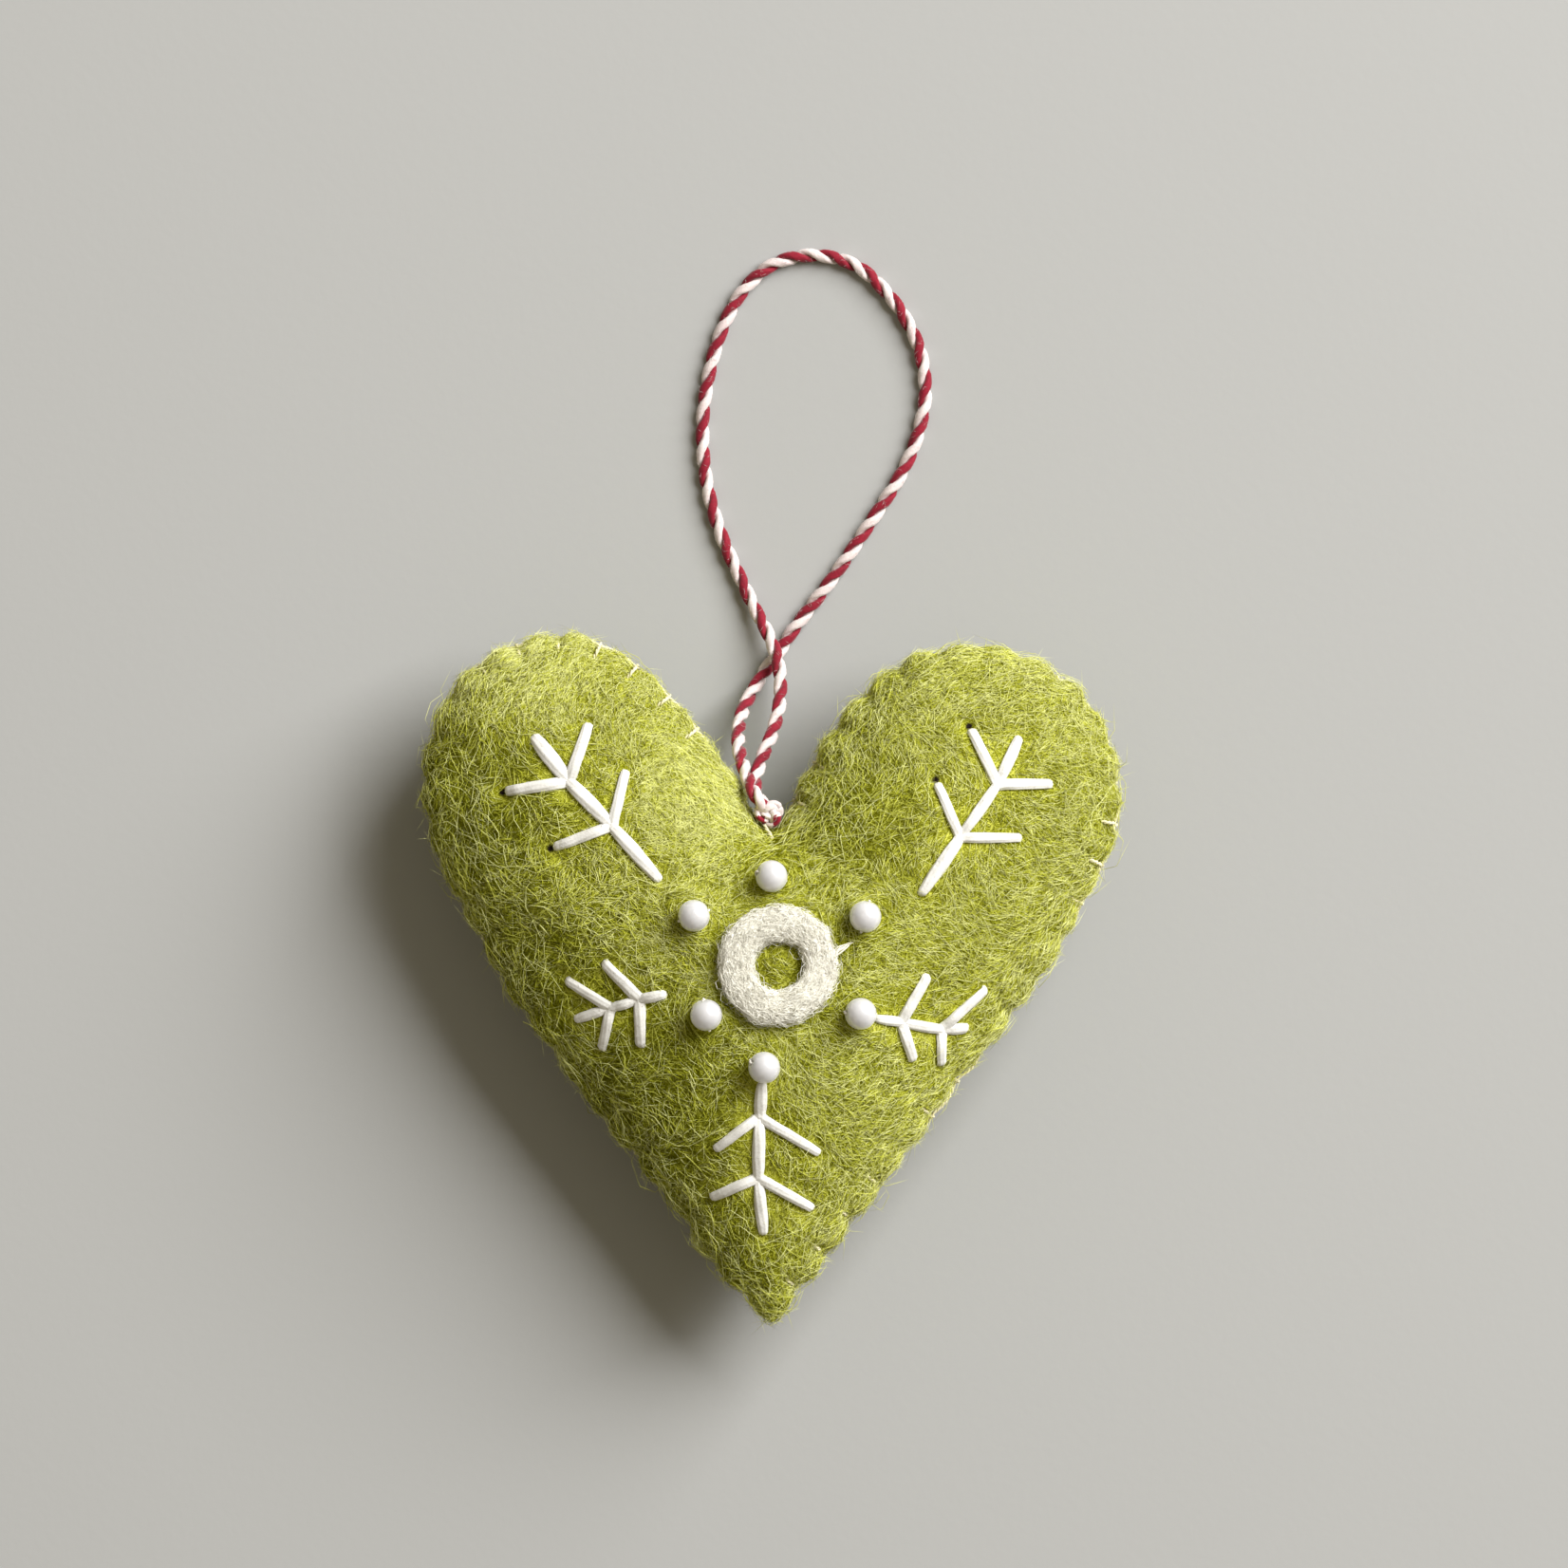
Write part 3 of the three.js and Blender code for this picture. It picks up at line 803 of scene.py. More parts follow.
@dataclass
class FeltHalf:
    """One sheet of the heart with the stuffing behind it, tucked in at its stitches and dimpled.

    A dimple has a place, a radius and a depth. The tight places are those of the stitches that are pulled
    hard. A plump place has a place, a radius and how far the edge swells out there, in millimetres.
    """

    node: str
    up: int
    plan: HeartPlan
    dimples: Sequence[tuple[float, float, float, float]] = ()
    voxel: float = 0.92 * MM
    rubs: int = 6
    sim_frames: int = 20
    most_movement: float = 0.8 * MM
    tuck_depth: float = 0.9 * MM
    tuck_width: float = 0.85 * MM
    tuck_reach: float = 3.6 * MM
    tight_room: float = 2.6 * MM
    tight_pull: tuple[float, float] = (0.9, 1.1)
    loose_pull: tuple[float, float] = (0.3, 0.75)
    tight: Sequence[tuple[float, float]] = (
        (16.4, 40.6), (12.1, 37.1), (8.6, 33.4), (6.1, 29.3), (3.0, 23.3),
        (35.6, 38.4), (40.1, 34.1), (4.7, -37.3), (-21.1, 39.1), (-8.6, 28.2),
    )
    plumps: Sequence[tuple[float, float, float, float]] = (
        (-8.0, -35.5, 4.5, 1.1), (-4.0, -40.5, 3.5, 1.0), (0.2, -43.0, 3.0, 0.6), (6.0, -38.5, 4.5, 0.6),
        (22.0, -16.0, 4.0, -0.6), (25.0, -11.5, 4.0, -0.6),
    )
    lump_size: float = 7 * MM
    lump_height: float = 0.4 * MM
    pill_size: float = 1.5 * MM
    pill_height: float = 0.1 * MM
    flat_below: float = 1.5 * MM
    lowest: float = 0.03 * MM

    def build(self, material: bpy.types.Material) -> bpy.types.Object:
        """Makes the half and gives it as a piece."""
        mesh = self.blank()
        self.tuck(mesh)
        self.stuff(mesh)
        mesh = reshaped(mesh, "SUBSURF", levels=1, render_levels=1)
        self.roughen(mesh)
        mesh.shade_smooth()
        made = piece_of(mesh, self.node + "_sheet", [material])
        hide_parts(self.node)
        return made

    def blank(self) -> bpy.types.Mesh:
        """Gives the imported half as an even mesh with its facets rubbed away."""
        bm = bmesh.new()
        bm.from_mesh(reshaped(merged(self.node), "REMESH", mode="VOXEL", voxel_size=self.voxel))
        rounded = [vertex for vertex in bm.verts if self.height(vertex.co.z) > self.plan.felt_thickness]
        for _ in range(self.rubs):
            bmesh.ops.smooth_vert(
                bm, verts=rounded, factor=0.5, use_axis_x=True, use_axis_y=True, use_axis_z=True
            )
        return smoothed(bm)

    def height(self, z: Any) -> Any:
        """Gives how far a height is from the seam, out of this half."""
        return (z - self.plan.seam_height) * self.up

    def nearness(self, places: np.ndarray) -> np.ndarray:
        """Gives how strongly a stitch holds each place, from 0 to 1."""
        held = np.zeros(len(places))
        draw = np.random.default_rng(21)
        for i in self.plan.stitched:
            edge, inward = self.plan.edge[i], self.plan.inward[i]
            tight = any(math.dist(edge, (x * MM, y * MM)) < self.tight_room for x, y in self.tight)
            pull = draw.uniform(*(self.tight_pull if tight else self.loose_pull))
            away = places[:, :2] - edge
            inside, aside = away @ inward, away @ np.array([-inward[1], inward[0]])
            reach = np.clip((self.tuck_reach - inside) / self.tuck_reach, 0, 1)
            here = np.exp(-((aside / self.tuck_width) ** 2)) * reach * (inside > -2 * MM)
            held = np.maximum(held, here * pull)
        return held

    def tuck(self, mesh: bpy.types.Mesh) -> None:
        """Pulls the felt towards the seam under each stitch and in at each dimple, and plumps up its edge."""
        places = places_of(mesh)
        rises = np.clip(self.height(places[:, 2]) / self.plan.felt_thickness, 0, 1)
        depth = self.nearness(places) * self.tuck_depth * rises
        above = self.height(places[:, 2]) > 2 * self.plan.felt_thickness
        for x, y, radius, deep in self.dimples:
            depth += deep * np.exp(-((away_from(places, x, y) / radius) ** 2)) * above
        places -= normals_of(mesh) * depth[:, None]
        for x, y, radius, out in np.array(self.plumps) * MM:
            share = np.exp(-((away_from(places, x, y) / radius) ** 2))
            nearest = np.argmin(away_from(self.plan.edge, x, y))
            places[:, :2] -= self.plan.inward[nearest] * (out * share)[:, None]
        move_to(mesh, places)

    def stuff(self, mesh: bpy.types.Mesh) -> None:
        """Lets the stuffing press the felt out between its stitches, as cloth under pressure."""
        before = places_of(mesh)
        near_seam = self.height(before[:, 2]) < 0.4 * MM
        on_floor = before[:, 2] < 0.3 * MM
        sewn = near_seam | on_floor | (self.nearness(before) > 0.5)
        work = linked("work", mesh)
        work.vertex_groups.new(name="sewn").add(np.flatnonzero(sewn).tolist(), 1.0, "REPLACE")
        cloth = work.modifiers.new("stuffing", "CLOTH")
        for name, value in CLOTH_SETTINGS.items():
            setattr(cloth.settings, name, value)
        cloth.settings.effector_weights.gravity = 0
        cloth.collision_settings.use_collision = False
        cloth.point_cache.frame_start = 1
        cloth.point_cache.frame_end = self.sim_frames
        for number in range(1, self.sim_frames + 1):
            bpy.context.scene.frame_set(number)
        swollen = applied(work)
        moved = places_of(swollen) - before
        length = np.linalg.norm(moved, axis=1, keepdims=True)
        log.info("%s swells by up to %.2f mm", self.node, length.max() / MM)
        moved *= np.minimum(1, self.most_movement / np.maximum(length, 1e-9))
        bpy.data.objects.remove(work)
        bpy.data.meshes.remove(swollen)
        move_to(mesh, before + moved)
        bpy.context.scene.frame_set(1)

    def roughen(self, mesh: bpy.types.Mesh) -> None:
        """Gives the felt the slow lumps of its stuffing and its small pills."""
        places = places_of(mesh)
        ease = np.clip(self.height(places[:, 2]) / self.plan.felt_thickness, 0, 1)
        off_floor = np.clip(places[:, 2] / self.flat_below, 0, 1)
        waves = [
            noise.noise(Vector(at) / self.lump_size) * self.lump_height
            + noise.noise(Vector(at) / self.pill_size) * self.pill_height
            for at in places
        ]
        places += normals_of(mesh) * (np.array(waves) * ease * off_floor)[:, None]
        places[:, 2] = np.maximum(places[:, 2], self.lowest)
        move_to(mesh, places)


@dataclass
class Nap:
    """Loose fibres that lie on a piece: thin curved spindles with both ends in it, or one end free."""

    name: str
    count: int
    colour: Colour
    slot: Slot
    seed: int
    length: tuple[float, float] = (2.0 * MM, 5.0 * MM)
    radius: tuple[float, float] = (0.03 * MM, 0.052 * MM)
    lift: tuple[float, float] = (0.06 * MM, 0.28 * MM)
    free: float = 0.1
    free_lift: tuple[float, float] = (0.3 * MM, 0.9 * MM)
    root_depth: float = 0.1 * MM
    curl: float = 0.13
    flow: float = 0.6
    spread: float = 0.5
    rings: int = 1
    above_table: float = 0.08 * MM
    swirls: int = 7
    swirl_size: float = 9 * MM
    swirl_turn: float = 0.8
    combed: Sequence[tuple[float, float, float, float]] = (
        (16.0, -14.0, 12.0, 32.0), (-11.0, 22.0, 9.0, -48.0), (-8.0, 13.0, 6.0, 35.0),
        (-32.0, 38.0, 8.0, 50.0), (30.0, 38.0, 9.0, 10.0),
    )

    def spindle(self) -> tuple[np.ndarray, np.ndarray]:
        """Gives one fibre's vertices, with their run from 0 to 1 as the third number, and its faces."""
        bm = bmesh.new()
        step = 1 / (self.rings + 1)
        bmesh.ops.create_cone(bm, cap_ends=True, segments=3, radius1=1, radius2=0, depth=step)
        bmesh.ops.remove_doubles(bm, verts=bm.verts, dist=1e-6)
        bmesh.ops.translate(bm, verts=bm.verts, vec=(0, 0, 1 - step / 2))
        for ring in range(self.rings, 0, -1):
            bm.faces.ensure_lookup_table()
            base = min(bm.faces, key=lambda face: face.calc_center_median().z)
            grown = bmesh.ops.extrude_face_region(bm, geom=[base])
            fresh = [part for part in grown["geom"] if isinstance(part, bmesh.types.BMVert)]
            bmesh.ops.delete(bm, geom=[base], context="FACES_ONLY")
            bmesh.ops.translate(bm, verts=fresh, vec=(0, 0, -step))
            if ring == 1:
                bmesh.ops.pointmerge(bm, verts=fresh, merge_co=(0, 0, 0))
        bmesh.ops.triangulate(bm, faces=bm.faces)
        bmesh.ops.recalc_face_normals(bm, faces=bm.faces)
        bm.verts.index_update()
        places = np.array([vertex.co for vertex in bm.verts])
        faces = np.array([[vertex.index for vertex in face.verts] for face in bm.faces])
        bm.free()
        return places, faces

    def roots(
        self, mesh: bpy.types.Mesh, wanted: Callable[[np.ndarray, np.ndarray], np.ndarray]
    ) -> tuple[np.ndarray, np.ndarray]:
        """Scatters roots evenly over a mesh.

        Args:
            mesh: What the fibres grow on.
            wanted: Gives each triangle's weight from its middle and its normal.

        Returns:
            The roots and the outward directions there.
        """
        draw = np.random.default_rng(self.seed)
        mesh.calc_loop_triangles()
        triangles = np.empty(len(mesh.loop_triangles) * 3, int)
        mesh.loop_triangles.foreach_get("vertices", triangles)
        triangles = triangles.reshape(-1, 3)
        corners = places_of(mesh)[triangles]
        cross = np.cross(corners[:, 1] - corners[:, 0], corners[:, 2] - corners[:, 0])
        area = np.linalg.norm(cross, axis=1)
        weight = area * wanted(corners.mean(axis=1), unit(cross))
        chosen = draw.choice(len(triangles), self.count, p=weight / weight.sum())
        a, b = draw.random((2, self.count, 1))
        flip = a + b > 1
        a, b = np.where(flip, 1 - a, a), np.where(flip, 1 - b, b)
        shares = np.stack([1 - a - b, a, b], axis=1)
        places = np.sum(corners[chosen] * shares, axis=1)
        normals = unit(np.sum(normals_of(mesh)[triangles[chosen]] * shares, axis=1))
        return places, normals

    def drift(self, places: np.ndarray) -> np.ndarray:
        """Gives the angle in which the fibres tend to lie at each place: slow swirls, or combed one way."""
        draw = np.random.default_rng(11)
        angle = np.zeros(len(places))
        for _ in range(self.swirls):
            wave = draw.normal(size=3) / self.swirl_size
            angle += np.sin(places @ wave + draw.uniform(0, 2 * math.pi)) * self.swirl_turn
        for x, y, radius, degrees in self.combed:
            away = away_from(places, x * MM, y * MM) / (radius * MM)
            angle += (math.radians(degrees) - angle) * np.exp(-(away**4))
        return angle

    def strands(
        self,
        mesh: bpy.types.Mesh,
        wanted: Callable[[np.ndarray, np.ndarray], np.ndarray],
        clear: Callable[[np.ndarray], np.ndarray] | None = None,
    ) -> bpy.types.Mesh:
        """Makes the fibres.

        Args:
            mesh: What they grow on.
            wanted: Each triangle's weight, from its middle and its normal.
            clear: Gives, for each place, whether a fibre may pass there.

        Returns:
            One mesh of all the fibres.
        """
        places, normals = self.roots(mesh, wanted)
        draw = np.random.default_rng(self.seed + 1)
        count = len(places)
        east = unit(np.cross(np.array([0.0, 1.0, 0.0]), normals))
        north = np.cross(normals, east)
        follows = draw.random(count) < self.flow
        any_way = draw.uniform(0, 2 * math.pi, count)
        turn = np.where(follows, self.drift(places) + draw.normal(0, self.spread, count), any_way)
        along = east * np.cos(turn)[:, None] + north * np.sin(turn)[:, None]
        across = np.cross(normals, along)
        length = draw.uniform(*self.length, count)
        curl = draw.normal(0, self.curl, count) * length
        is_free = draw.random(count) < self.free
        lift = np.where(is_free, draw.uniform(*self.free_lift, count), draw.uniform(*self.lift, count))
        radius = draw.uniform(*self.radius, count)
        shape, faces = self.spindle()
        t = shape[:, 2][None, :]
        hump = 4 * t * (1 - t)
        rise = np.where(is_free[:, None], lift[:, None] * t**1.4, lift[:, None] * hump)
        rise = rise - self.root_depth * np.where(is_free[:, None], 1 - t, 1 - hump)
        middle = (
            places[:, None]
            + along[:, None] * (length[:, None] * (t - 0.5))[..., None]
            + across[:, None] * (curl[:, None] * hump)[..., None]
            + normals[:, None] * rise[..., None]
        )
        kept = (middle[..., 2] > self.above_table).all(axis=1)
        if clear is not None:
            kept &= clear(middle.reshape(-1, 3)).reshape(count, -1).all(axis=1)
        middle, across, normals, thick = middle[kept], across[kept], normals[kept], radius[kept, None, None]
        vertices = (
            middle
            + across[:, None] * shape[None, :, 0:1] * thick
            + normals[:, None] * shape[None, :, 1:2] * thick
        )
        every = (faces[None] + (np.arange(len(middle)) * len(shape))[:, None, None]).reshape(-1, 3)
        return mesh_from(vertices.reshape(-1, 3), every)

    def grow(
        self,
        mesh: bpy.types.Mesh,
        wanted: Callable[[np.ndarray, np.ndarray], np.ndarray],
        clear: Callable[[np.ndarray], np.ndarray] | None = None,
    ) -> bpy.types.Object:
        """Makes the fibres as one piece, from the same arguments as strands."""
        finish = FibreFinish(self.name + "_fibre", self.colour).material()
        return piece_of(self.strands(mesh, wanted, clear), self.name, [finish])


def mesh_from(vertices: np.ndarray, triangles: np.ndarray) -> bpy.types.Mesh:
    """Gives a smooth-shaded mesh of many copies of a small shape."""
    mesh = bpy.data.meshes.new("many")
    mesh.vertices.add(len(vertices))
    mesh.vertices.foreach_set("co", vertices.ravel())
    mesh.loops.add(triangles.size)
    mesh.loops.foreach_set("vertex_index", triangles.ravel())
    mesh.polygons.add(len(triangles))
    mesh.polygons.foreach_set("loop_start", np.arange(0, triangles.size, 3))
    mesh.update(calc_edges=True)
    mesh.shade_smooth()
    return mesh


def linted(mesh: bpy.types.Mesh, count: int, material: int) -> bpy.types.Mesh:
    """Gives a thread's mesh with short lint that stands out of it.

    Args:
        mesh: The thread, which is changed.
        count: How many fibres it gets.
        material: The number of their material.

    Returns:
        The same mesh.
    """
    fibres = Nap("lint", count, (1.0, 1.0, 1.0), Slot.THREAD, 31, **LINT)
    lint = fibres.strands(mesh, lambda middles, normals: np.where(middles[:, 2] > 0.3 * MM, 1.0, 0.0))
    bm = bmesh.new()
    bm.from_mesh(mesh)
    first = len(bm.faces)
    bm.from_mesh(lint)
    bm.faces.ensure_lookup_table()
    for face in bm.faces[first:]:
        face.material_index = material
    bm.to_mesh(mesh)
    bm.free()
    bpy.data.meshes.remove(lint)
    return mesh


@dataclass
class Twine:
    """The hanging loop of two-ply twine, and the knot that ties its two ends."""

    diameter: float = 1.7 * MM
    pitch: float = 5.3 * MM
    step: float = 0.25 * MM
    length: float = 0.1729
    lint_count: int = 1300
    knot_diameter: float = 1.3 * MM
    knot_pitch: float = 4.4 * MM
    knot_across: float = 0.42 * MM
    knot_up: float = 0.66 * MM
    knot_lint: int = 160
    route: Sequence[Sequence[float]] = (
        (-1.9, 22.9, 18.0), (-2.5, 24.1, 17.1), (-3.1, 25.5, 15.4), (-3.7, 27.2, 13.4), (-4.2, 29.3, 10.8),
        (-4.2, 31.5, 7.9), (-3.8, 33.6, 5.2), (-2.9, 35.6, 3.1), (-1.7, 37.6, 1.7), (-0.5, 39.5, 1.05),
        (0.8, 41.3, 0.9), (2.9, 44.4, 0.88), (8.1, 51.3, 0.88), (13.3, 59.0, 0.88), (16.1, 63.4, 0.88),
        (18.3, 68.2, 0.88), (19.5, 74.0, 0.88), (18.9, 79.4, 0.88), (16.8, 84.1, 0.88), (14.1, 87.6, 0.88),
        (11.0, 90.3, 0.88), (7.4, 91.6, 0.88), (3.7, 91.7, 0.88), (-0.1, 90.5, 0.88), (-3.4, 87.6, 0.88),
        (-5.8, 83.6, 0.88), (-7.8, 77.5, 0.88), (-8.8, 70.0, 0.88), (-8.2, 62.5, 0.88), (-6.4, 56.2, 0.88),
        (-4.2, 51.2, 0.95), (-2.0, 46.6, 1.5), (-0.4, 43.5, 2.4), (0.6, 40.8, 3.2), (1.1, 37.8, 4.1),
        (0.9, 34.2, 5.8), (0.0, 30.9, 8.3), (-1.1, 28.2, 10.7), (-2.0, 25.4, 12.9), (-2.0, 23.4, 14.7),
    )
    into_knot: Sequence[Sequence[Sequence[float]]] = (
        ((-0.9, 21.5, 17.2), (-1.4, 22.2, 17.9)),
        ((-1.1, 22.1, 15.9), (-0.4, 21.3, 16.6)),
    )

    def __post_init__(self) -> None:
        """Makes the two finishes that the loop and its knot share."""
        red = ThreadFinish("twine_red", srgb(150, 28, 50), srgb(100, 14, 32)).material()
        white = ThreadFinish("twine_white", srgb(232, 224, 222), srgb(200, 178, 180)).material()
        self.materials = (red, white)

    def thread(self, diameter: float, pitch: float) -> Thread:
        """Gives twine of two plies that lean left over right and press each other flat."""
        plies = two_plies(
            radius=0.265 * diameter,
            offset=0.25 * diameter,
            pitch=-pitch,
            width=1.4,
            lobes=6,
            lobe_depth=0.06,
            lobe_pitch=-2.2 * pitch,
            sides=16,
        )
        return Thread(plies)

    def build(self) -> bpy.types.Object:
        route = [*self.into_knot[0], *self.route, *self.into_knot[1]]
        line = Line(np.array(route) * MM, self.step)
        bm = bmesh.new()
        self.thread(self.diameter, self.pitch).lay(bm, line, (0, 1))
        made = piece_of(linted(smoothed(bm), self.lint_count, 1), "hanging_twine", self.materials)
        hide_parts("twine_loop")
        return made

    def knot(self) -> bpy.types.Object:
        """Makes the knot as a small pulled-up trefoil of the same twine."""
        middle = middle_of("twine_knot")
        turns = np.linspace(0, 2 * math.pi, 25)[:-1]
        reach = (2 + np.cos(3 * turns)) * self.knot_across
        points = np.column_stack(
            [
                middle.x + 1.05 * reach * np.cos(2 * turns + 0.7),
                middle.y + 0.95 * reach * np.sin(2 * turns + 0.7),
                middle.z + self.knot_up * np.sin(3 * turns),
            ]
        )
        bm = bmesh.new()
        thread = self.thread(self.knot_diameter, self.knot_pitch)
        thread.lay(bm, Line(points, 0.14 * MM, closed=True), (1, 1))
        for face in bm.faces:
            away = face.calc_center_median() - middle
            if away.y < -0.3 * MM and abs(away.x) > 0.5 * MM:
                face.material_index = 0
        made = piece_of(linted(smoothed(bm), self.knot_lint, 1), "knotted_twine", self.materials)
        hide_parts("twine_knot")
        return made


@dataclass
class BlanketStitch:
    """The cream thread that joins the two sheets: a run round the edge and a stitch at each notch.

    Most stitches are pulled down into the felt. The ones near the shown places lie on top of it.
    """

    plan: HeartPlan
    diameter: float = 0.5 * MM
    reach: float = 1.9 * MM
    clear: float = 0.1 * MM
    tack_places: Sequence[tuple[float, float, float]] = (
        (-1.3, 19.0, 0.6), (-0.9, 18.5, 0.5), (-0.2, 17.9, 0.3), (0.3, 17.2, -0.6),
    )
    shown: Sequence[tuple[float, float]] = (
        (-21.7, 42.2), (-17.1, 39.4), (-13.0, 35.7), (-9.5, 31.5), (43.4, 19.5), (41.7, 14.3),
    )
    half_shown: Sequence[tuple[float, float]] = (
        (-37.0, 39.6), (-31.9, 41.9), (-26.6, 42.8), (5.3, 27.4), (2.7, 22.6), (6.7, -34.7),
        (3.3, -39.0), (20.5, -17.5), (13.6, -26.1), (10.1, -30.4), (39.4, 9.4),
    )

    def build(self, front: Surface, back: Surface) -> bpy.types.Object:
        """Makes the whole stitching as one piece."""
        bm = bmesh.new()
        thread = sewing_thread(self.diameter, 1.6 * MM, 5)
        thread.lay(bm, Line(self.run(), 0.4 * MM, closed=True))
        for i in self.plan.stitched:
            thread.lay(bm, Line(self.stitch(i, front, back), 0.4 * MM))
        thread.lay(bm, Line(self.tack(front), 0.15 * MM))
        colours = ThreadFinish("edge_thread", srgb(244, 238, 206), srgb(214, 206, 158))
        made = piece_of(smoothed(bm), "blanket_stitch", [colours.material()])
        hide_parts("edge_stitch")
        return made

    def on_top(self, i: int) -> float:
        """Gives how far a place on the edge has its thread on top of the felt, from 0 to 1."""
        edge, stitched = self.plan.edge, self.plan.stitched
        gaps = np.abs(stitched - i)
        mine = stitched[np.argmin(np.minimum(gaps, len(edge) - gaps))]

        def holds(shown: Sequence[tuple[float, float]]) -> bool:
            """Says whether the nearest stitch of any of the places is this one."""
            spots = np.array(shown) * MM
            away = np.linalg.norm(edge[stitched][None] - spots[:, None], axis=2)
            return mine in stitched[np.argmin(away, axis=1)]

        return 1.0 if holds(self.shown) else 0.5 if holds(self.half_shown) else 0.0

    def legs(self) -> np.ndarray:
        """Gives the stitches that lie on top of the front as rows of two flat places."""
        rows = [
            [*self.plan.edge[i], *(self.plan.edge[i] + self.plan.inward[i] * self.reach)]
            for i in self.plan.stitched
            if self.on_top(i) == 1.0
        ]
        return np.array(rows)

    def run(self) -> np.ndarray:
        """Gives the run round the edge, which each stitch lifts towards the front."""
        stitched = set(self.plan.stitched.tolist())
        rows = []
        for i, (place, inward) in enumerate(zip(self.plan.edge, self.plan.inward)):
            top = self.on_top(i) * (1.0 if i in stitched else 0.3)
            at = place + inward * (0.6 - 0.5 * top) * MM
            rise = (0.3 + 1.1 * top if i in stitched else 0.8 * top) * MM
            rows.append([*at, self.plan.seam_height + rise])
        return np.array(rows)

    def stitch(self, i: int, front: Surface, back: Surface) -> np.ndarray:
        """Gives one stitch from inside the front felt, round the edge, into the back felt."""
        place, inward = self.plan.edge[i], self.plan.inward[i]
        top = self.on_top(i)
        reach = self.reach * (1 - 0.15 * top)
        points = []
        for surface, down, raised in ((front, -1.0, 2.2 * top - 0.9), (back, 1.0, -0.7)):
            over = []
            for share, lift in ((1.1, -0.9), (1.0, raised - 0.15), (0.55, raised), (0.15, raised)):
                x, y = place + inward * reach * share
                at, normal = surface.under(x, y, down)
                over.append(at + normal * lift * self.diameter)
            points.append(over)
        clear = self.clear - 0.5 * MM * (1 - top)
        rim = Vector((*(place - inward * clear), self.plan.seam_height))
        shoulder = Vector((0, 0, self.plan.felt_thickness * 0.8))
        return np.array([*points[0], rim + shoulder, rim, rim - shoulder, *reversed(points[1])])

    def tack(self, front: Surface) -> np.ndarray:
        """Gives the small stitch that holds the knot's end to the front."""
        points = []
        for x, y, lift in np.array(self.tack_places) * MM:
            at, normal = front.under(x, y)
            points.append(at + normal * lift)
        return np.array(points)


@dataclass(frozen=True)
class Stitch:
    """One straight or V stitch: the flat places that it passes over, its lift and its fullness.

    A stitch that starts in a V has an extra rise, with which it goes over the V's bend.
    """

    places: Sequence[Vector]
    lift: float
    full: float
    end_size: float
    rise: float = 0.0


@dataclass
class Sprig:
    """One embroidered sprig: a stem of straight stitches, each of which holds a V stitch at its start."""

    node: str
    stem: Sequence[Share]
    barbs: Sequence[tuple[Share, Share]]
    stem_full: float = 1.0
    barb_full: float = 0.94
    crook: float = 0.55 * MM
    bend_room: float = 0.8 * MM
    tip_lift: float = 0.24 * MM
    stem_lift: float = 0.26 * MM
    stem_rise: float = 0.16 * MM
    barb_lift: float = 0.3 * MM

    def stitches(self, plan: HeartPlan) -> list[Stitch]:
        """Gives the stem's stitches, and the V stitches that all but the first of them hold down."""
        stem = [plan.on_top(plan.place(share)) for share in self.stem]
        found = [Stitch(stem[:2], self.tip_lift, self.stem_full, 0.35)]
        for pair, joint, after in zip(self.barbs, stem[1:], stem[2:]):
            ends = [plan.on_top(plan.place(share)) for share in pair]
            near = [joint + (end - joint).normalized() * self.bend_room for end in ends]
            bent = [ends[0], near[0], joint, near[1], ends[1]]
            found.append(Stitch(bent, self.barb_lift, self.barb_full, 0.7))
            start = joint - (after - joint).normalized() * self.crook
            found.append(Stitch([start, after], self.stem_lift, self.stem_full, 0.38, self.stem_rise))
        return found


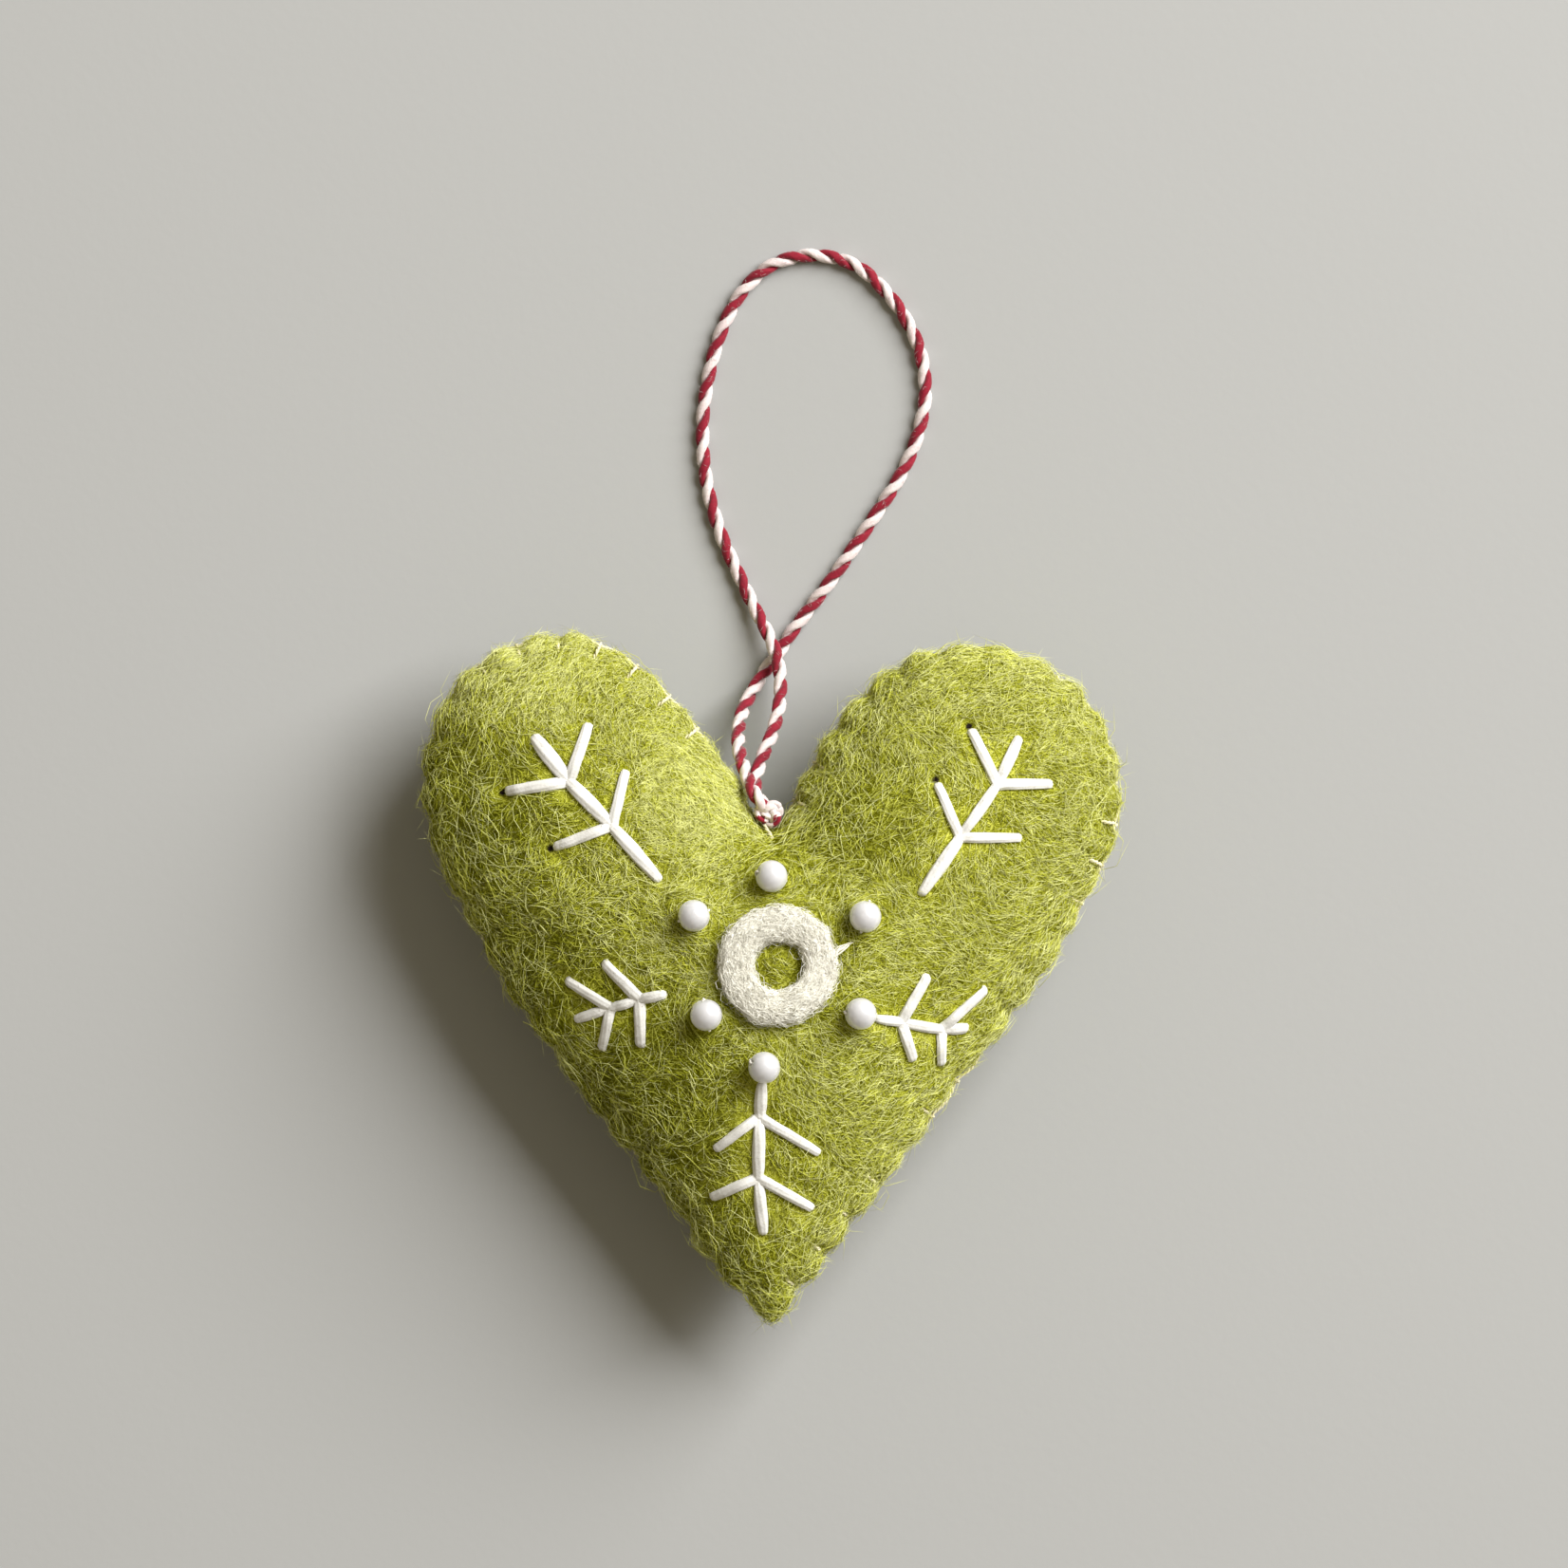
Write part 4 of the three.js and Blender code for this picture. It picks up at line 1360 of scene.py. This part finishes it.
@dataclass
class Embroidery:
    """The five sprigs of thick white thread."""

    plan: HeartPlan
    width: float = 1.5 * MM
    flat: float = 0.58
    dive: float = 0.5 * MM
    sunk: float = -0.6 * MM
    lint_count: int = 90
    hole_room: float = 0.4 * MM
    holed: Sequence[tuple[int, int, int]] = ((0, 0, 1), (0, 1, 1), (1, 0, 0), (1, 1, 0))
    sprigs: Sequence[Sprig] = (
        Sprig(
            "sprig_upper_left",
            ((-0.684, 0.703), (-0.581, 0.568), (-0.457, 0.439), (-0.319, 0.28)),
            (((-0.524, 0.739), (-0.763, 0.541)), ((-0.419, 0.604), (-0.625, 0.378))),
            1.22,
        ),
        Sprig(
            "sprig_upper_right",
            ((0.711, 0.703), (0.646, 0.56), (0.538, 0.406), (0.424, 0.239)),
            (((0.57, 0.722), (0.805, 0.563)), ((0.473, 0.566), (0.716, 0.406))),
        ),
        Sprig(
            "sprig_left",
            ((-0.568, -0.124), (-0.459, -0.088), (-0.376, -0.063), (-0.3, -0.047)),
            (((-0.589, -0.005), (-0.486, -0.214)), ((-0.481, 0.047), (-0.373, -0.203))),
            0.82,
        ),
        Sprig(
            "sprig_right",
            ((0.565, -0.146), (0.484, -0.151), (0.368, -0.129), (0.292, -0.117)),
            (((0.614, -0.03), (0.484, -0.258)), ((0.446, 0.008), (0.405, -0.244))),
            0.9,
        ),
        Sprig(
            "sprig_bottom",
            ((-0.024, -0.752), (-0.038, -0.582), (-0.035, -0.404), (-0.026, -0.302)),
            (((-0.176, -0.643), (0.119, -0.675)), ((-0.165, -0.502), (0.138, -0.513))),
        ),
    )

    def thread(self, full: float, end_size: float) -> Thread:
        """Gives soft thread of loose plies, fuller or thinner than usual by a factor."""
        ply = Ply(0.5 * self.width * full, lobes=7, lobe_depth=0.08, lobe_pitch=70 * MM, sides=26)
        return Thread([ply], self.flat, end_size, 0.55)

    def holes(self) -> list[Vector]:
        """Gives the flat places where a needle's hole shows just beyond the end of a barb."""
        found = []
        for sprig, pair, side in self.holed:
            barbs = self.sprigs[sprig].stitches(self.plan)[1 + 2 * pair].places
            end, joint = barbs[-side], barbs[2]
            found.append(end + (end - joint).normalized() * self.hole_room)
        return found

    def dimples(self) -> list[tuple[float, float, float, float]]:
        """Gives the dimples that the needle made, and the rises under beads and ring as negative depths."""
        found = [(hole.x, hole.y, 1.0 * MM, 0.5 * MM) for hole in self.holes()]
        for sprig in self.sprigs:
            for stitch in sprig.stitches(self.plan):
                for end in (stitch.places[0], stitch.places[-1]):
                    found.append((*end, 1.1 * MM, 0.35 * MM))
                for a, b in zip(stitch.places, stitch.places[1:]):
                    found.append((*((a + b) / 2), 1.6 * MM, 0.12 * MM))
        for node, _, _ in Pearls.turns:
            found.append((*middle_of(node).xy, 2.8 * MM, -1.0 * MM))
        found.append((*middle_of("centre_ring").xy, 2.6 * MM, -0.8 * MM))
        return found

    def segments(self) -> np.ndarray:
        """Gives every straight run of thread as rows of two flat places."""
        rows = []
        for sprig in self.sprigs:
            for stitch in sprig.stitches(self.plan):
                rows += [[*a, *b] for a, b in zip(stitch.places, stitch.places[1:])]
        return np.array(rows)

    def laid(self, stitch: Stitch, front: Surface) -> Line:
        """Gives a stitch's line: up out of the felt, along it and down into it again."""
        flat = Line([(*at, 0) for at in stitch.places], 0.5 * MM)
        near_end = np.clip(np.minimum(flat.run, flat.run[-1] - flat.run) / self.dive, 0, 1)
        lifts = self.sunk + (stitch.lift - self.sunk) * np.sin(near_end * math.pi / 2)
        lifts += stitch.rise * np.exp(-(((flat.run - 0.8 * MM) / (1.1 * MM)) ** 2))
        points = []
        for (x, y, _), lift in zip(flat.points, lifts):
            at, normal = front.under(x, y)
            points.append(at + normal * lift)
        line = Line(points, 0.18 * MM)
        normals = [front.under(x, y)[1] for x, y, _ in line.points]
        return line.facing(np.array(normals))

    def build(self, front: Surface) -> None:
        """Makes the five sprigs."""
        draw = np.random.default_rng(5)
        finish = ThreadFinish("embroidery_thread", srgb(236, 236, 234), srgb(206, 204, 198)).material()
        for sprig in self.sprigs:
            bm = bmesh.new()
            for stitch in sprig.stitches(self.plan):
                full = stitch.full * draw.uniform(0.92, 1.1)
                self.thread(full, stitch.end_size).lay(bm, self.laid(stitch, front), (0,))
            mesh = linted(smoothed(bm), self.lint_count, 0)
            made = piece_of(mesh, sprig.node + "_thread", [finish])
            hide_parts(sprig.node)


@dataclass
class Pearls:
    """Six pearl beads, bored through and sewn down by a thread that shows at both ends of the bore."""

    plan: HeartPlan
    thread_diameter: float = 0.36 * MM
    pole_room: float = 0.3 * MM
    mouth: float = 0.97
    sunk: float = 0.45 * MM
    turns: Sequence[tuple[str, float, float]] = (
        ("bead_top", 170.0, 22.0),
        ("bead_upper_left", 20.0, 0.0),
        ("bead_upper_right", 75.0, 0.0),
        ("bead_lower_left", 100.0, 0.0),
        ("bead_lower_right", -6.0, 0.0),
        ("bead_bottom", 152.0, 20.0),
    )

    def build(self, front: Surface) -> None:
        """Makes the beads and the threads that hold them."""
        finish = PearlFinish().material()
        holding = ThreadFinish("bead_thread", srgb(246, 244, 238), srgb(216, 212, 200)).material()
        thread = sewing_thread(self.thread_diameter, 1.5 * MM, 8)
        bm = bmesh.new()
        for node, degrees, tilt in self.turns:
            middle, radius = middle_of(node), half_width(node)
            _, normal = front.under(middle.x, middle.y)
            middle -= normal * self.sunk
            middle.xy = self.plan.on_top(middle.xy)
            turn = math.radians(degrees)
            along = Vector((math.cos(turn), math.sin(turn), 0))
            along = (along - normal * along.dot(normal)).normalized()
            along = (along + normal * math.tan(math.radians(tilt))).normalized()
            self.bead(node, middle, radius, along, finish)
            thread.lay(bm, Line(self.held(middle, radius, along, normal, front), 0.15 * MM))
        piece_of(smoothed(bm), "bead_threads", [holding])

    def bead(self, node: str, middle: Vector, radius: float, along: Vector, finish: Any) -> None:
        """Makes one bead: a sphere with its poles opened and joined by a bore."""
        bm = bmesh.new()
        bmesh.ops.create_uvsphere(bm, u_segments=40, v_segments=28, radius=radius)
        poles = [vertex for vertex in bm.verts if math.hypot(vertex.co.x, vertex.co.y) < self.pole_room]
        bmesh.ops.delete(bm, geom=poles, context="VERTS")
        for vertex in bm.verts:
            if vertex.is_boundary:
                vertex.co.z *= self.mouth
        open_edges = [edge for edge in bm.edges if edge.is_boundary]
        bmesh.ops.bridge_loops(bm, edges=open_edges)
        turn = Vector((0, 0, 1)).rotation_difference(along).to_matrix().to_4x4()
        bmesh.ops.transform(bm, matrix=Matrix.Translation(middle) @ turn, verts=bm.verts)
        made = piece_of(smoothed(bm), node + "_pearl", [finish])
        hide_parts(node)

    def held(
        self, middle: Vector, radius: float, along: Vector, normal: Vector, front: Surface
    ) -> np.ndarray:
        """Gives the thread from the felt, round the bead's side, through it and back into the felt."""
        points = [middle]
        for end in (-1, 1):
            mouth = middle + along * end * radius
            beside = middle + (along * end * 0.8 - normal * 0.6).normalized() * radius
            foot = middle + along * end * 0.5 * radius
            at, _ = front.under(foot.x, foot.y)
            tail = [at - normal * 0.8 * MM, beside, mouth]
            points = tail + points if end < 0 else points + tail[::-1]
        return np.array(points)


@dataclass
class WoolRing:
    """The ring of cream wool felted onto the middle, with a wisp pulled out of its side."""

    lump_size: float = 2.4 * MM
    lump_height: float = 0.2 * MM
    outline_size: float = 5 * MM
    outline_play: float = 0.25 * MM
    shrunk: float = 0.15 * MM
    wisp_from: tuple[float, float] = (7.4, 2.9)
    wisp_to: tuple[float, float] = (10.1, 4.7)

    def build(self) -> bpy.types.Object:
        """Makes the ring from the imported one, with soft lumps."""
        mesh = reshaped(merged("centre_ring"), "SUBSURF", levels=2, render_levels=2)
        places = places_of(mesh)
        waves = [
            noise.noise(Vector(at) / self.lump_size) * self.lump_height
            + noise.noise(Vector(at) / self.outline_size) * self.outline_play
            - self.shrunk
            for at in places
        ]
        move_to(mesh, places + normals_of(mesh) * np.array(waves)[:, None])
        mesh.shade_smooth()
        finish = WoolFinish().material()
        made = piece_of(mesh, "wool_ring", [finish])
        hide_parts("centre_ring")
        self.wisp(finish)
        return made

    def wisp(self, finish: bpy.types.Material) -> None:
        """Makes the wisp of wool that is pulled out of the ring's side."""
        draw = np.random.default_rng(8)
        low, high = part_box("centre_ring")
        start = Vector((*self.wisp_from, 0)) * MM + Vector((0, 0, (low.z + high.z) / 2))
        end = Vector((*self.wisp_to, 0)) * MM + Vector((0, 0, low.z + 0.5 * MM))
        strand = Thread([Ply(0.06 * MM, sides=5)], 1.0, 0.25, 0.7)
        bm = bmesh.new()
        for _ in range(14):
            root = start + Vector(draw.normal(0, 0.25 * MM, 3))
            bend = (start + end) / 2 + Vector(draw.normal(0, 0.2 * MM, 3))
            tip = start.lerp(end, draw.uniform(0.75, 1.1)) + Vector(draw.normal(0, 0.1 * MM, 3))
            strand.lay(bm, Line([root, bend, tip], 0.3 * MM), (0,))
        piece_of(smoothed(bm), "ring_wisp", [finish])


@dataclass
class RingNap(Nap):
    """Loose fibres that run round a middle."""

    middle: tuple[float, float] = (0.0, 0.0)

    def drift(self, places: np.ndarray) -> np.ndarray:
        """Gives the angle of a circle round the middle at each place."""
        return np.arctan2(places[:, 1] - self.middle[1], places[:, 0] - self.middle[0]) + math.pi / 2


@dataclass(frozen=True)
class Tone:
    """One tone of the felt's loose fibres, how many there are, and their share in the patches of painted
    shade.
    """

    name: str
    colour: Colour
    front: int
    back: int
    seed: int
    painted_shade_share: float = 1.0


@dataclass
class Wool:
    """All the loose fibres: the felt's nap and hairs, the fuzz at its edge and the ring's wool."""

    plan: HeartPlan
    embroidery: Embroidery
    stitching: BlanketStitch
    ring_count: int = 4200
    thread_room: float = 0.65 * MM
    stitch_room: float = 0.35 * MM
    hole_room: float = 0.9 * MM
    knot_room: float = 2.0 * MM
    bead_share: float = 0.9
    ring_overlap: float = 0.6 * MM
    ring_hole: float = 2.9 * MM
    edge_band: float = 7 * MM
    nap: Sequence[Tone] = (
        Tone("light", srgb(231, 233, 153), 20000, 7500, 200, 0.2),
        Tone("olive", srgb(189, 192, 62), 20000, 7500, 300, 0.7),
        Tone("deep", srgb(114, 116, 5), 13000, 5000, 400, 3.4),
    )
    hairs: Sequence[Tone] = (
        Tone("pale", srgb(236, 239, 164), 3200, 1000, 500, 1.1),
        Tone("yellow", srgb(214, 217, 102), 4600, 1400, 600, 1.0),
    )
    fuzz: Tone = Tone("fuzz", srgb(222, 224, 152), 2200, 0, 700)
    # Patches of painted light and shade, each a place, a radius and how pale it makes the fibres: the dark
    # ones lie where the lamp's shade falls on the heart, the pale ones where its light falls.
    painted_light_patches: Sequence[tuple[float, float, float, float]] = (
        (-36.0, 22.0, 11.0, -1.0), (-17.0, -16.0, 14.0, -1.0), (-30.0, 2.0, 9.0, -0.9),
        (12.0, 19.0, 8.0, -1.0), (-5.0, -34.0, 7.0, -0.7), (0.0, 15.0, 5.0, -0.8),
        (-11.0, 23.0, 9.0, 0.7), (30.0, 32.0, 13.0, 0.2), (-30.0, 38.0, 9.0, 0.6),
    )

    def painted_lightness(self, places: np.ndarray) -> np.ndarray:
        """Gives the painted light at each place, from -1 in a patch of painted shade to 1 in a patch of
        painted light.
        """
        found = np.zeros(len(places))
        for x, y, radius, pale in self.painted_light_patches:
            away = away_from(places, x * MM, y * MM) / (radius * MM)
            found += pale * np.exp(-(away**4))
        return np.clip(found, -1, 1)

    def outside(self, up: int, painted_shade_share: float) -> Callable[[np.ndarray, np.ndarray], np.ndarray]:
        """Gives the weight of each triangle of a felt half for one tone of fibre.

        Args:
            up: 1 for the front half, -1 for the back half.
            painted_shade_share: The tone's share in the patches of painted shade.

        Returns:
            The function that gives the weights: none on the hidden side.
        """
        seam = self.plan.seam_height

        def weight(middles: np.ndarray, normals: np.ndarray) -> np.ndarray:
            """Leaves out what faces the other sheet or lies on the table."""
            hidden = ((middles[:, 2] - seam) * up < 0.5 * MM) & (normals[:, 2] * up < -0.3)
            lain_on = middles[:, 2] < 0.25 * MM
            # The patches of painted light and shade raise or lower each tone's weight.
            return np.where(hidden | lain_on, 0.0, painted_shade_share ** -self.painted_lightness(middles))

        return weight

    def clear_of_trim(self, places: np.ndarray) -> np.ndarray:
        """Says which places are clear of the threads, the beads and the ring, seen from the front."""
        flat = places[:, :2]
        ok = np.ones(len(places), bool)
        for rows, room in (
            (self.embroidery.segments(), self.thread_room),
            (self.stitching.legs(), self.stitch_room),
        ):
            for ax, ay, bx, by in rows:
                start, run = np.array([ax, ay]), np.array([bx - ax, by - ay])
                share = np.clip(((flat - start) @ run) / (run @ run), 0, 1)
                ok &= np.linalg.norm(flat - start - share[:, None] * run, axis=1) > room
        discs = [(hole, self.hole_room) for hole in self.embroidery.holes()]
        discs += [(middle_of(node), half_width(node) * self.bead_share) for node, _, _ in Pearls.turns]
        discs.append((middle_of("twine_knot"), self.knot_room))
        for middle, room in discs:
            ok &= away_from(flat, middle.x, middle.y) > room
        ring = middle_of("centre_ring")
        away = away_from(flat, ring.x, ring.y)
        ok &= (away > half_width("centre_ring") - self.ring_overlap) | (away < self.ring_hole)
        return ok | (places[:, 2] < self.plan.seam_height)

    def at_edge(self, middles: np.ndarray, normals: np.ndarray) -> np.ndarray:
        """Gives the weight of each triangle for the fuzz that stands out sideways at the edge."""
        near_seam = np.abs(middles[:, 2] - self.plan.seam_height) < self.edge_band
        return np.where(near_seam & (np.abs(normals[:, 2]) < 0.75), 1.0, 0.0)

    def build(self, front: Surface, back: Surface, ring: bpy.types.Object) -> None:
        """Grows everything."""
        for kind, tones, look in (("nap", self.nap, {}), ("hair", self.hairs, HAIR)):
            for tone in tones:
                for side, surface, up in (("front", front, 1), ("back", back, -1)):
                    name, count = f"{side}_{kind}_{tone.name}", getattr(tone, side)
                    clear = self.clear_of_trim if up > 0 else None
                    fibres = Nap(name, count, tone.colour, Slot.FELT, tone.seed + up, **look)
                    fibres.grow(surface.mesh, self.outside(up, tone.painted_shade_share), clear)
        fuzz = Nap("edge_fuzz", self.fuzz.front, self.fuzz.colour, Slot.FELT, self.fuzz.seed, **FUZZ)
        fuzz.grow(front.mesh, self.at_edge)
        look = {**RING, "middle": tuple(middle_of("centre_ring").xy)}
        wool = RingNap("ring_nap", self.ring_count, srgb(255, 253, 243), Slot.WOOL, 900, **look)
        wool.grow(ring.data, lambda middles, normals: np.where(normals[:, 2] > -0.2, 1.0, 0.0))


@dataclass
class Studio:
    """The table, the light and the camera."""

    floor_size: float = 4.0
    camera_height: float = 2.4
    view_width: float = 199.4 * MM
    sensor: float = 36.0
    key_place: tuple[float, float, float] = (1.22, 1.0, 1.24)
    key_size: float = 1.5
    key_power: float = 86.0
    key_colour: Colour = srgb(255, 254, 252)
    room_colour: Colour = (1.0, 0.87, 0.62)
    room_strength: float = 0.29

    def build(self) -> None:
        """Makes the camera first, then the table and the lights."""
        scene = bpy.context.scene
        data = bpy.data.cameras.new("camera")
        data.sensor_width = self.sensor
        data.lens = self.sensor * self.camera_height / self.view_width
        scene.camera = linked("camera", data)
        scene.camera.location = (*VIEW_CENTRE, self.camera_height)
        scene.view_settings.view_transform = "Standard"
        scene.view_settings.look = "None"
        self.floor()
        self.key_light()
        scene.world = bpy.data.worlds.new("room")
        scene.world.use_nodes = True
        room = scene.world.node_tree.nodes["Background"].inputs
        room["Color"].default_value = (*self.room_colour, 1)
        room["Strength"].default_value = self.room_strength

    def floor(self) -> None:
        """Makes the plain table that the heart lies on."""
        bm = bmesh.new()
        bmesh.ops.create_grid(bm, x_segments=1, y_segments=1, size=self.floor_size / 2)
        mesh = bpy.data.meshes.new("table")
        bm.to_mesh(mesh)
        bm.free()
        mesh.materials.append(FloorFinish().material())
        table = linked("table", mesh)

    def key_light(self) -> None:
        """Makes the one soft square light, which faces the heart."""
        data = bpy.data.lights.new("key", "AREA")
        data.size = self.key_size
        data.energy = self.key_power
        data.color = self.key_colour
        lamp = linked("key", data)
        lamp.location = self.key_place
        lamp.rotation_euler = Vector(self.key_place).to_track_quat("Z", "Y").to_euler()


def main() -> None:
    """Builds the scene in order and notes its size."""
    logging.basicConfig(level=logging.INFO, format="%(message)s")
    Studio().build()
    twine = Twine()
    twine.build()
    twine.knot()

    plan = HeartPlan()
    embroidery = Embroidery(plan)
    felt = FeltFinish(holes=embroidery.holes()).material()
    front_piece = FeltHalf("front_felt", 1, plan, embroidery.dimples()).build(felt)
    back_piece = FeltHalf("back_felt", -1, plan, voxel=1.15 * MM).build(felt)
    front, back = Surface(front_piece.data), Surface(back_piece.data)

    stitching = BlanketStitch(plan)
    stitching.build(front, back)
    embroidery.build(front)
    Pearls(plan).build(front)
    ring = WoolRing().build()
    Wool(plan, embroidery, stitching).build(front, back, ring)


if __name__ == "__main__":
    main()
